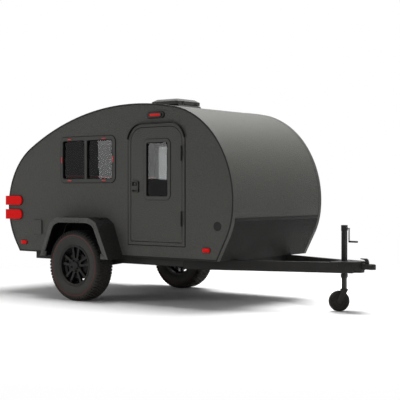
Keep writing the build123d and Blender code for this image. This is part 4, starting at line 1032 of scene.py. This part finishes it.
@dataclass
class Tyres:
    """Tread and sidewall of the two road tyres, and the wheels' nuts and valves."""

    workshop: Workshop
    units: int = 32
    lug_half: float = 0.0125
    ring: tuple[float, float] = (0.3150, 0.3195)
    side_foot: float = 0.2320
    side_top: float = 0.3300
    carcass: tuple[tuple[float, float], ...] = (
        # distance from the wheel's middle, radius
        (0.0917, 0.2033), (0.0935, 0.2150), (0.0975, 0.2225), (0.1042, 0.2450), (0.1095, 0.2680),
        (0.1118, 0.2875), (0.1118, 0.3000), (0.1106, 0.3140), (0.1120, 0.3155), (0.1120, 0.3190),
        (0.1100, 0.3205), (0.1088, 0.3300), (0.1050, 0.3420), (0.0985, 0.3510), (0.0900, 0.3580),
        (0.0700, 0.3610), (0.0350, 0.3625), (0.0, 0.3630),
    )
    lugs: tuple[tuple[float, tuple[tuple[float, float], ...]], ...] = (
        # turn in half units, and the section as distance from the middle and radius
        (0.0, ((0.067, 0.3712), (0.094, 0.3706), (0.1095, 0.3560), (0.1124, 0.3330), (0.1060, 0.3310),
               (0.0900, 0.3500), (0.067, 0.3590))),
        (1.0, ((0.067, 0.3712), (0.094, 0.3706), (0.1090, 0.3560), (0.1108, 0.3450), (0.1040, 0.3430),
               (0.0900, 0.3500), (0.067, 0.3590))),
        (0.5, ((0.029, 0.3712), (0.061, 0.3712), (0.061, 0.3590), (0.029, 0.3590))),
        (1.5, ((0.029, 0.3712), (0.061, 0.3712), (0.061, 0.3590), (0.029, 0.3590))),
        (0.0, ((0.002, 0.3712), (0.023, 0.3712), (0.023, 0.3600), (0.002, 0.3600))),
        (1.0, ((0.002, 0.3712), (0.023, 0.3712), (0.023, 0.3600), (0.002, 0.3600))),
    )
    lug_lean: float = 0.12
    lug_edge: float = 0.0012
    nuts: int = 5
    nut_circle: float = 0.060
    face: float = 0.078
    # How far out each part of a nut starts and ends, and its radius or radii
    nut_washer: tuple[float, float, float] = (-0.001, 0.002, 0.0135)
    nut_body: tuple[float, float, float] = (0.001, 0.013, 0.0105)
    nut_cap: tuple[float, float, float, float] = (0.012, 0.016, 0.0080, 0.0050)
    # Turn of the valve in degrees, and the radius and the way out of its foot and tip
    valve_turn: float = 198.0
    valve_foot: tuple[float, float] = (0.193, 0.060)
    valve_tip: tuple[float, float] = (0.172, 0.088)
    valve_radii: tuple[float, float] = (0.0055, 0.0042)
    valve_cap_radii: tuple[float, float] = (0.0052, 0.0048)
    valve_cap_share: float = 0.35
    spin_steps: int = 128

    def build(self) -> None:
        """Make both wheels' tyres and fittings."""
        for side in Side:
            self._tyre(side)
            self._fittings(side)

    def _tyre(self, side: Side) -> None:
        """Make one tyre: its lugs by turning one unit round, its carcass by a full spin.

        Args:
            side: Side of the trailer.
        """
        centre = Vector((AXLE_X, side.value * WHEEL_Y, WHEEL_Z))
        axis = Vector((0.0, 1.0, 0.0))
        shape = bmesh.new()
        half_turn = math.pi / self.units
        for turn, section in self.lugs:
            for hand in (-1, 1):
                before = set(shape.verts)
                outline = [centre + Vector((-self.lug_half, hand * y, radius)) for y, radius in section]
                Forms.prism(shape, outline, Vector((2 * self.lug_half, 0.0, 0.0)))
                added = [vert for vert in shape.verts if vert not in before]
                lean = half_turn * (turn + self.lug_lean * hand)
                bmesh.ops.rotate(shape, verts=added, cent=centre, matrix=Matrix.Rotation(lean, 3, axis))
        soften(shape, shape.edges[:], self.lug_edge, 1)
        copies = self.units - 1
        bmesh.ops.spin(shape, geom=shape.verts[:] + shape.edges[:] + shape.faces[:], cent=centre, axis=axis,
                       angle=math.tau * copies / self.units, steps=copies, use_duplicate=True)
        lug_faces = set(shape.faces)
        points = list(self.carcass) + [(-y, radius) for y, radius in reversed(self.carcass[:-1])]
        verts = [shape.verts.new(centre + Vector((0.0, y, radius))) for y, radius in points]
        edges = [shape.edges.new((verts[index - 1], vert)) for index, vert in enumerate(verts)]
        bmesh.ops.spin(shape, geom=verts + edges, cent=centre, axis=axis, angle=math.tau,
                       steps=self.spin_steps, use_merge=True)
        body = [face for face in shape.faces if face not in lug_faces]
        bmesh.ops.recalc_face_normals(shape, faces=body)
        for face in body:
            middle = face.calc_center_median() - centre
            radius = math.hypot(middle.x, middle.z)
            if self.ring[0] < radius < self.ring[1]:
                face.material_index = 2
            elif self.side_foot < radius < self.side_top:
                face.material_index = 1
        made = self.workshop.piece(f"tyre_{side.word}_finished", shape, f"wheel_{side.word}", "tyre_rubber",
                                   ("tyre_rubber", "tyre_side", "tyre_ring"))
        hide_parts(f"tyre_{side.word}")

    def _fittings(self, side: Side) -> None:
        """Make the wheel nuts round the cap and the valve at the rim.

        Args:
            side: Side of the trailer.
        """
        centre = Vector((AXLE_X, side.value * WHEEL_Y, WHEEL_Z))
        out = Vector((0.0, side.value, 0.0))
        shape = bmesh.new()
        for index in range(self.nuts):
            angle = math.tau * (index + 0.5) / self.nuts
            radial = Vector((math.sin(angle), 0.0, math.cos(angle)))
            foot = centre + self.nut_circle * radial + self.face * out
            Forms.bolt(shape, foot, out, self.nut_washer, self.nut_body)
            start, end, wide, narrow = self.nut_cap
            Forms.rod(shape, foot + start * out, foot + end * out, wide, narrow, 12)
        self.workshop.piece(f"wheel_nuts_{side.word}", shape, f"wheel_{side.word}", "wheel_black")
        valve = bmesh.new()
        turn = math.radians(self.valve_turn)
        radial = Vector((math.sin(turn), 0.0, math.cos(turn)))
        foot, tip = (centre + reach * radial + away * out
                     for reach, away in (self.valve_foot, self.valve_tip))
        Forms.rod(valve, foot, tip, *self.valve_radii, 16)
        Forms.rod(valve, tip, tip + self.valve_cap_share * (tip - foot), *self.valve_cap_radii, 16)
        self.workshop.piece(f"valve_{side.word}", valve, f"wheel_{side.word}", "seal_rubber")


@dataclass(frozen=True)
class Seal:
    """Thin band inside a rounded upright outline in millimetres; its depth is from the middle, in metres."""

    x_range: tuple[float, float]
    z_range: tuple[float, float]
    radius: float
    width: float
    depth: tuple[float, float]
    foot: float | None = None

    def add(self, shape: bmesh.types.BMesh, side: Side) -> None:
        """Add the band to a bmesh.

        Args:
            shape: The bmesh.
            side: Side of the trailer.
        """
        near, far = (side.value * y for y in self.depth)
        inner_foot = None if self.foot is None else max(1.0, self.foot - self.width)
        inner_x, inner_z = wider(self.x_range, -self.width), wider(self.z_range, -self.width)
        outer = Forms.rounded(self.x_range, self.z_range, self.radius, near, self.foot)
        inner = Forms.rounded(inner_x, inner_z, self.radius - self.width, near, inner_foot)
        Forms.band(shape, outer, inner, Vector((0.0, far - near, 0.0)))


@dataclass
class Openings:
    """Seals, clips and screws of the windows and doors."""

    workshop: Workshop
    window_seals: tuple[Seal, ...] = (
        Seal((-380, 445), (1242, 1744), 71, 6.5, (WALL_Y, 0.7995)),
        Seal((-336, -4.5), (1286, 1700), 27, 7, (0.7870, 0.8030)),
        Seal((28.5, 401), (1286, 1700), 27, 7, (0.7870, 0.8030)),
    )
    door_seals: tuple[Seal, ...] = (
        Seal((615, 1374), (605, 1846), 194, 8.5, (WALL_Y, 0.8000), 9),
        Seal((653, 1336), (643, 1808), 156, 3, (0.7700, 0.7950), 3),
    )
    pane_seals: tuple[Seal, ...] = (
        Seal((869, 1150), (1105, 1649), 21, 7, (0.7890, 0.8045)),
        Seal((831, 1188), (1067, 1687), 59, 4.5, (0.7990, 0.8015)),
    )
    clips: tuple[tuple[float, float, float, float], ...] = (
        # x, z, width, height
        (-224, 1712, 56, 12), (281, 1712, 56, 12), (-224, 1272, 56, 12), (281, 1272, 56, 12),
        (-344, 1493, 12, 62), (408, 1493, 12, 62),
    )
    clip_depth: tuple[float, float] = (0.8045, 0.8115)
    clip_edge: float = 0.0022
    # Places of the window frame's screws: x and z of the top and bottom rows, then of the upright ones
    screw_rows: tuple[tuple[tuple[float, ...], tuple[float, ...]], ...] = (
        ((-180, -60, 85, 205), (1267, 1719)), ((-355, 12, 420), (1370, 1616)),
    )
    screw_radii: tuple[float, float] = (0.0052, 0.0036)
    screw_sides: int = 16
    frame_screw: tuple[float, float] = (0.8045, 0.8068)
    fixed_screw: tuple[float, float] = (0.8035, 0.8062)
    door_screw: tuple[float, float] = (0.8015, 0.8042)
    hinge_x: float = 1333
    hinges_z: tuple[float, float] = (885, 1532)
    leaf_reach: float = 22
    fixed_screws_z: tuple[float, ...] = (-58, -42, 42, 58)
    door_screws_z: tuple[float, ...] = (-14, 14)
    lock_x: float = 723
    lock_z: float = 1233
    lock_depth: tuple[float, float] = (0.8030, 0.8120)
    lock_radii: tuple[float, float] = (0.0095, 0.0085)
    lock_sides: int = 32

    def build(self) -> None:
        """Make the fittings of both sides."""
        for side in Side:
            self._window(side)
            self._door(side)

    def _screw(self, shape: bmesh.types.BMesh, side: Side, x: float, z: float,
               depth: tuple[float, float]) -> None:
        """Add a screw's rounded head.

        Args:
            shape: The bmesh.
            side: Side of the trailer.
            x: Millimetres ahead of the axle.
            z: Millimetres over the ground.
            depth: Foot and top of the head, as distances to the side in metres.
        """
        foot, top = (at(x, side.value * y, z) for y in depth)
        Forms.rod(shape, foot, top, *self.screw_radii, self.screw_sides)

    def _seal(self, name: str, seals: tuple[Seal, ...], side: Side, body: str) -> None:
        """Make one piece of several seals.

        Args:
            name: Name of the piece.
            seals: The seals.
            side: Side of the trailer.
            body: Body that carries the piece.
        """
        shape = bmesh.new()
        for seal in seals:
            seal.add(shape, side)
        self.workshop.piece(name, shape, body, "seal_rubber")

    def _window(self, side: Side) -> None:
        """Red clips, frame screws and pane seals of one side window.

        Args:
            side: Side of the trailer.
        """
        self._seal(f"window_seals_{side.word}", self.window_seals, side, "trailer")
        clips = bmesh.new()
        for x, z, width, height in self.clips:
            low = at(x - width / 2, side.value * self.clip_depth[0], z - height / 2)
            high = at(x + width / 2, side.value * self.clip_depth[1], z + height / 2)
            Forms.block(clips, low, high, self.clip_edge)
        self.workshop.piece(f"window_clips_{side.word}", clips, "trailer", "frame_black", ("clip_red",))
        screws = bmesh.new()
        for places_x, places_z in self.screw_rows:
            for x in places_x:
                for z in places_z:
                    self._screw(screws, side, x, z, self.frame_screw)
        self.workshop.piece(f"window_screws_{side.word}", screws, "trailer", "frame_black", ("frame_paint",))

    def _door(self, side: Side) -> None:
        """Seals, hinge screws and lock of one door.

        Args:
            side: Side of the trailer.
        """
        self._seal(f"door_seals_{side.word}", self.door_seals, side, "trailer")
        self._seal(f"door_pane_seal_{side.word}", self.pane_seals, side, f"door_{side.word}")
        fixed = bmesh.new()
        moving = bmesh.new()
        for z in self.hinges_z:
            for drop in self.fixed_screws_z:
                self._screw(fixed, side, self.hinge_x + self.leaf_reach, z + drop, self.fixed_screw)
            for drop in self.door_screws_z:
                self._screw(moving, side, self.hinge_x - self.leaf_reach, z + drop, self.door_screw)
        foot, top = (at(self.lock_x, side.value * y, self.lock_z) for y in self.lock_depth)
        Forms.rod(moving, foot, top, *self.lock_radii, self.lock_sides)
        self.workshop.piece(f"door_screws_{side.word}", fixed, "trailer", "hinge_black", ("shell_paint",))
        self.workshop.piece(f"door_lock_{side.word}", moving, f"door_{side.word}", "hinge_black",
                            ("zinc_bolt",))


@dataclass
class Fittings:
    """Lamp trim, painted shade sheets inside the fenders, coupler plates, bolts, the vent's latch, the
    cabin's trim and the disc.
    """

    workshop: Workshop
    # Height range and corner radius of the gaskets behind the tail lamps
    tail_gaskets: tuple[tuple[tuple[float, float], float], ...] = (((995, 1109), 56), ((836, 956), 59))
    tail_x: tuple[float, float] = (-1225, -980)
    gasket: float = 0.004
    markers: tuple[tuple[float, float], ...] = ((1637, 585), (-955, 584))
    upper: tuple[float, float] = (990, 1924)
    # Half length, half height and corner radius
    marker_gasket: tuple[float, float, float] = (46, 24, 13)
    marker_lens: tuple[float, float, float] = (42, 20, 10)
    marker_depth: float = 0.014
    marker_edge: float = 0.002
    upper_gasket: tuple[float, float, float] = (119, 34, 33)
    lip_out: tuple[float, float, float] = (90, 21, 20.5)
    lip_in: tuple[float, float, float] = (74, 14, 13.5)
    lip_y: float = 0.8120
    lip_depth: float = 0.0072
    wrap: tuple[tuple[float, float, float], ...] = (
        # x, distance to the side, depth of the flange under the rails' top
        (2640, 181.6, 30), (2850, 118.7, 78), (2901, 34.0, 78),
    )
    # Near-black sheets on the wall inside the fenders: painted shade where the wall lies in the fenders'
    # shadow
    liner_out: tuple[tuple[float, float], ...] = (
        # x and height round the wheel, from the rear foot to the front one
        (-503, 484), (-386, 806), (-305, 867), (315, 867), (400, 808), (537, 484),
    )
    liner_in: tuple[tuple[float, float], ...] = (
        (-446, 484), (-292, 790), (-205, 828), (214, 828), (306, 796), (480, 484),
    )
    liner: float = 0.002
    rail_top: float = 482
    plate: float = 0.005
    plate_edge: float = 0.0012
    # Shares of the flange's length at which its bolts stand, and their depth under the rails' top
    bolt_shares: tuple[float, ...] = (0.34, 0.62, 0.90)
    bolt_drop: float = 0.028
    flange_washer: tuple[float, float, float] = (-0.001, 0.002, 0.0125)
    flange_bolt: tuple[float, float, float] = (0.001, 0.010, 0.0095)
    jack_bolts: tuple[tuple[float, float], ...] = ((2642, 0.0), (2748, 0.050), (2748, -0.050))
    jack_plate_top: float = 480
    jack_washer: tuple[float, float, float] = (0.0, 0.003, 0.013)
    jack_bolt: tuple[float, float, float] = (0.0, 0.011, 0.0095)
    # Ring where the crank's shaft leaves the jack: its ends along X, height and radii
    crank_ring: tuple[float, float, float, float, float] = (2732, 2737, 800, 0.014, 0.012)
    # Offset of the vent's latch from the lid's low corner in X and Z, with its Y, and its size
    vent_latch: tuple[float, float, float] = (-0.004, -0.03, 0.008)
    vent_latch_size: tuple[float, float, float] = (0.008, 0.06, 0.018)
    vent_latch_edge: float = 0.002
    shelf_strip: tuple[Vector, Vector] = (at(-352, -0.70, 1306), at(-346, 0.70, 1332))
    shelf_strip_edge: float = 0.0015
    cabinet: tuple[Vector, Vector] = (at(-366, -0.748, 1331), at(-352, 0.748, 1830))
    cabinet_edge: float = 0.001
    # The plain disc's middle, thickness, radii and sides
    disc: tuple[float, float] = (1767, 820)
    disc_depth: float = 0.004
    disc_radii: tuple[float, float] = (0.046, 0.044)
    disc_sides: int = 48
    latch_half: float = 0.011
    latch_edge: float = 0.0018
    latch: tuple[tuple[float, float], ...] = (
        # x and height of the hooked lever
        (2880, 519), (2880, 511), (2921, 505), (2930, 494), (2928, 470), (2965, 466), (2966, 484),
        (2957, 508), (2944, 519),
    )

    def build(self) -> None:
        """Make every fitting."""
        self._lamps()
        self._liners()
        self._coupler()
        self._jack()
        self._vent()
        self._inside()

    def _lamps(self) -> None:
        """Markers, dark gaskets behind every lamp, and the lips of the upper lamps."""
        shape = bmesh.new()
        markers = bmesh.new()
        for side in Side:
            foot = side.value * WALL_Y
            out = Vector((0.0, side.value, 0.0))
            for z_range, radius in self.tail_gaskets:
                Forms.prism(shape, Forms.rounded(self.tail_x, z_range, radius, foot), out * self.gasket)
            for middle in self.markers:
                Forms.prism(shape, self._oval(middle, self.marker_gasket, foot), out * self.gasket)
                Forms.prism(markers, self._oval(middle, self.marker_lens, foot), out * self.marker_depth)
            Forms.prism(shape, self._oval(self.upper, self.upper_gasket, foot), out * self.gasket)
        self.workshop.piece("lamp_gaskets", shape, "trailer", "seal_rubber")
        soften(markers, markers.edges[:], self.marker_edge, 2)
        made = self.workshop.piece("marker_lamps_finished", markers, "trailer", "lamp_red")
        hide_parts("marker_lamps")
        lips = bmesh.new()
        for side in Side:
            outer, inner = (self._oval(self.upper, size, side.value * self.lip_y)
                            for size in (self.lip_out, self.lip_in))
            Forms.band(lips, outer, inner, Vector((0.0, side.value * self.lip_depth, 0.0)))
        self.workshop.piece("upper_lamp_lips", lips, "trailer", "hinge_black")

    @staticmethod
    def _oval(middle: tuple[float, float], size: tuple[float, float, float], y: float) -> list[Vector]:
        """Outline of a lamp round its middle.

        Args:
            middle: Its x from the axle and height, in millimetres.
            size: Half its length, half its height and the radius of its corners, in millimetres.
            y: Distance to the side, in metres.

        Returns:
            The outline's corners in metres.
        """
        (x, z), (half_length, half_height, radius) = middle, size
        z_range = (z - half_height, z + half_height)
        return Forms.rounded((x - half_length, x + half_length), z_range, radius, y)

    def _liners(self) -> None:
        """Near-black sheets on the wall inside the fenders, painted shade where the wall lies in their
        shadow.
        """
        shape = bmesh.new()
        for side in Side:
            foot = side.value * WALL_Y
            outer = [at(x, foot, z) for x, z in self.liner_out]
            inner = [at(x, foot, z) for x, z in self.liner_in]
            Forms.band(shape, outer, inner, Vector((0.0, side.value * self.liner, 0.0)))
        self.workshop.piece("fender_liners", shape, "trailer", "fender_plastic", ("inside_black",))

    def _coupler(self) -> None:
        """Plate over the drawbar's front, flanges that deepen down its rails, their bolts, and the latch."""
        shape = bmesh.new()
        top = [at(x, y / 1000, self.rail_top) for x, y, depth in self.wrap]
        top += [at(x, -y / 1000, self.rail_top) for x, y, depth in reversed(self.wrap)]
        lift = Vector((0.0, 0.0, self.plate))
        Forms.prism(shape, top, lift)
        bolts = bmesh.new()
        for hand in (-1, 1):
            for rear, front in zip(self.wrap, self.wrap[1:]):
                start = at(rear[0], hand * rear[1] / 1000, self.rail_top)
                end = at(front[0], hand * front[1] / 1000, self.rail_top)
                across = Vector((0.0, 0.0, 1.0)).cross(end - start).normalized()
                across *= math.copysign(1.0, across.y * hand)
                drops = [Vector((0.0, 0.0, -depth / 1000)) for depth in (rear[2], front[2])]
                Forms.prism(shape, [start + lift, end + lift, end + drops[1], start + drops[0]],
                            across * self.plate)
                for share in self.bolt_shares if rear is self.wrap[0] else ():
                    foot = start.lerp(end, share) + across * self.plate + Vector((0.0, 0.0, -self.bolt_drop))
                    Forms.bolt(bolts, foot, across, self.flange_washer, self.flange_bolt)
        soften(shape, shape.edges[:], self.plate_edge, 2)
        self.workshop.piece("coupler_plates", shape, "trailer", "chassis_black")
        self.workshop.piece("coupler_bolts", bolts, "trailer", "chassis_black")
        latch = bmesh.new()
        outline = [at(x, -self.latch_half, z) for x, z in self.latch]
        Forms.prism(latch, outline, Vector((0.0, 2 * self.latch_half, 0.0)))
        soften(latch, latch.edges[:], self.latch_edge, 2)
        made = self.workshop.piece("coupler_latch_finished", latch, "trailer", "jack_steel")
        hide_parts("coupler_latch")

    def _jack(self) -> None:
        """Bolts round the jack on its plate, and a ring at the crank's shaft."""
        shape = bmesh.new()
        up = Vector((0.0, 0.0, 1.0))
        for x, y in self.jack_bolts:
            Forms.bolt(shape, at(x, y, self.jack_plate_top), up, self.jack_washer, self.jack_bolt)
        rear, front, z, wide, narrow = self.crank_ring
        Forms.rod(shape, at(rear, 0.0, z), at(front, 0.0, z), wide, narrow)
        self.workshop.piece("jack_bolts", shape, "trailer", "jack_steel", ("zinc_bolt",))

    def _vent(self) -> None:
        """Dark latch on the rear lip of the roof vent's lid."""
        shape = bmesh.new()
        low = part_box("vent_lid")[0]
        foot = Vector((low[0], 0.0, low[2])) + Vector(self.vent_latch)
        Forms.block(shape, foot, foot + Vector(self.vent_latch_size), self.vent_latch_edge)
        self.workshop.piece("vent_latch", shape, "vent_lid", "hinge_black")

    def _inside(self) -> None:
        """Red edge strip of the cabin shelf, the cabinet front over it, and the right side's plain disc."""
        shape = bmesh.new()
        Forms.block(shape, *self.shelf_strip, self.shelf_strip_edge)
        self.workshop.piece("shelf_edge_strip", shape, "trailer", "galley_wood", ("clip_red",))
        cabinet = bmesh.new()
        Forms.block(cabinet, *self.cabinet, self.cabinet_edge)
        self.workshop.piece("cabinet_front", cabinet, "trailer", "galley_wood", ("lining",))
        disc = bmesh.new()
        x, z = self.disc
        foot = at(x, Side.RIGHT.value * WALL_Y, z)
        top = at(x, Side.RIGHT.value * (WALL_Y + self.disc_depth), z)
        Forms.rod(disc, foot, top, *self.disc_radii, self.disc_sides)
        self.workshop.piece("badge_disc", disc, "trailer", "hinge_black")


@dataclass
class Bedding:
    """Foam mattress, swollen by a cloth simulation."""

    workshop: Workshop
    voxel: float = 0.024
    inset: float = 0.014
    swell: float = 0.012
    frames: int = 20
    pressure: float = 4.0
    corner: float = 0.045
    fill: float = 0.9

    def build(self) -> None:
        """Make the pad."""
        low, high = (Vector(corner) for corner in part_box("mattress"))
        gap = Vector((self.inset, self.inset, self.inset))
        shape = bmesh.new()
        Forms.block(shape, low + gap, high - gap)
        upright = [edge for edge in shape.edges if abs(edge.verts[0].co.z - edge.verts[1].co.z) > 0.01]
        soften(shape, upright, self.corner, 6)
        pad = self.workshop.piece("mattress_finished", shape, "trailer", "mattress_fabric", sharp=180.0)
        remesh = pad.modifiers.new("even mesh", "REMESH")
        remesh.mode = "VOXEL"
        remesh.voxel_size = self.voxel
        self._apply(pad)
        self._swell(pad, low, high)
        smoother = pad.modifiers.new("round", "SUBSURF")
        smoother.levels = 1
        smoother.render_levels = 1
        self._apply(pad)
        for face in pad.data.polygons:
            face.use_smooth = True
        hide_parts("mattress")

    def _swell(self, pad: bpy.types.Object, low: Vector, high: Vector) -> None:
        """Swell the pad by pressure and hold every point inside the solid's space.

        Args:
            pad: The pad.
            low: Lowest corner of the space.
            high: Highest corner of the space.
        """
        rest = [vert.co.copy() for vert in pad.data.vertices]
        cloth = pad.modifiers.new("cloth", "CLOTH")
        cloth.settings.use_pressure = True
        cloth.settings.uniform_pressure_force = self.pressure
        cloth.settings.effector_weights.gravity = 0.0
        scene = bpy.context.scene
        for step in range(1, self.frames + 1):
            scene.frame_set(step)
        self._apply(pad)
        scene.frame_set(1)
        for vert, start in zip(pad.data.vertices, rest):
            move = vert.co - start
            if move.length > self.swell:
                move = move.normalized() * self.swell
            place = start + move
            vert.co = Vector([min(max(place[axis], low[axis]), high[axis]) for axis in range(3)])

    @staticmethod
    def _apply(pad: bpy.types.Object) -> None:
        """Turn what the modifiers make into the piece's own mesh.

        Args:
            pad: The piece.
        """
        graph = bpy.context.evaluated_depsgraph_get()
        made = bpy.data.meshes.new_from_object(pad.evaluated_get(graph))
        pad.modifiers.clear()
        pad.data = made


def main() -> None:
    """Build the studio, the finishes and the pieces."""
    logging.basicConfig(level=logging.INFO, format="%(name)s: %(message)s")
    Studio().build()
    workshop = Workshop(Library())
    Cladding(workshop).build()
    Tyres(workshop).build()
    Openings(workshop).build()
    Fittings(workshop).build()
    Bedding(workshop).build()


if __name__ == "__main__":
    main()
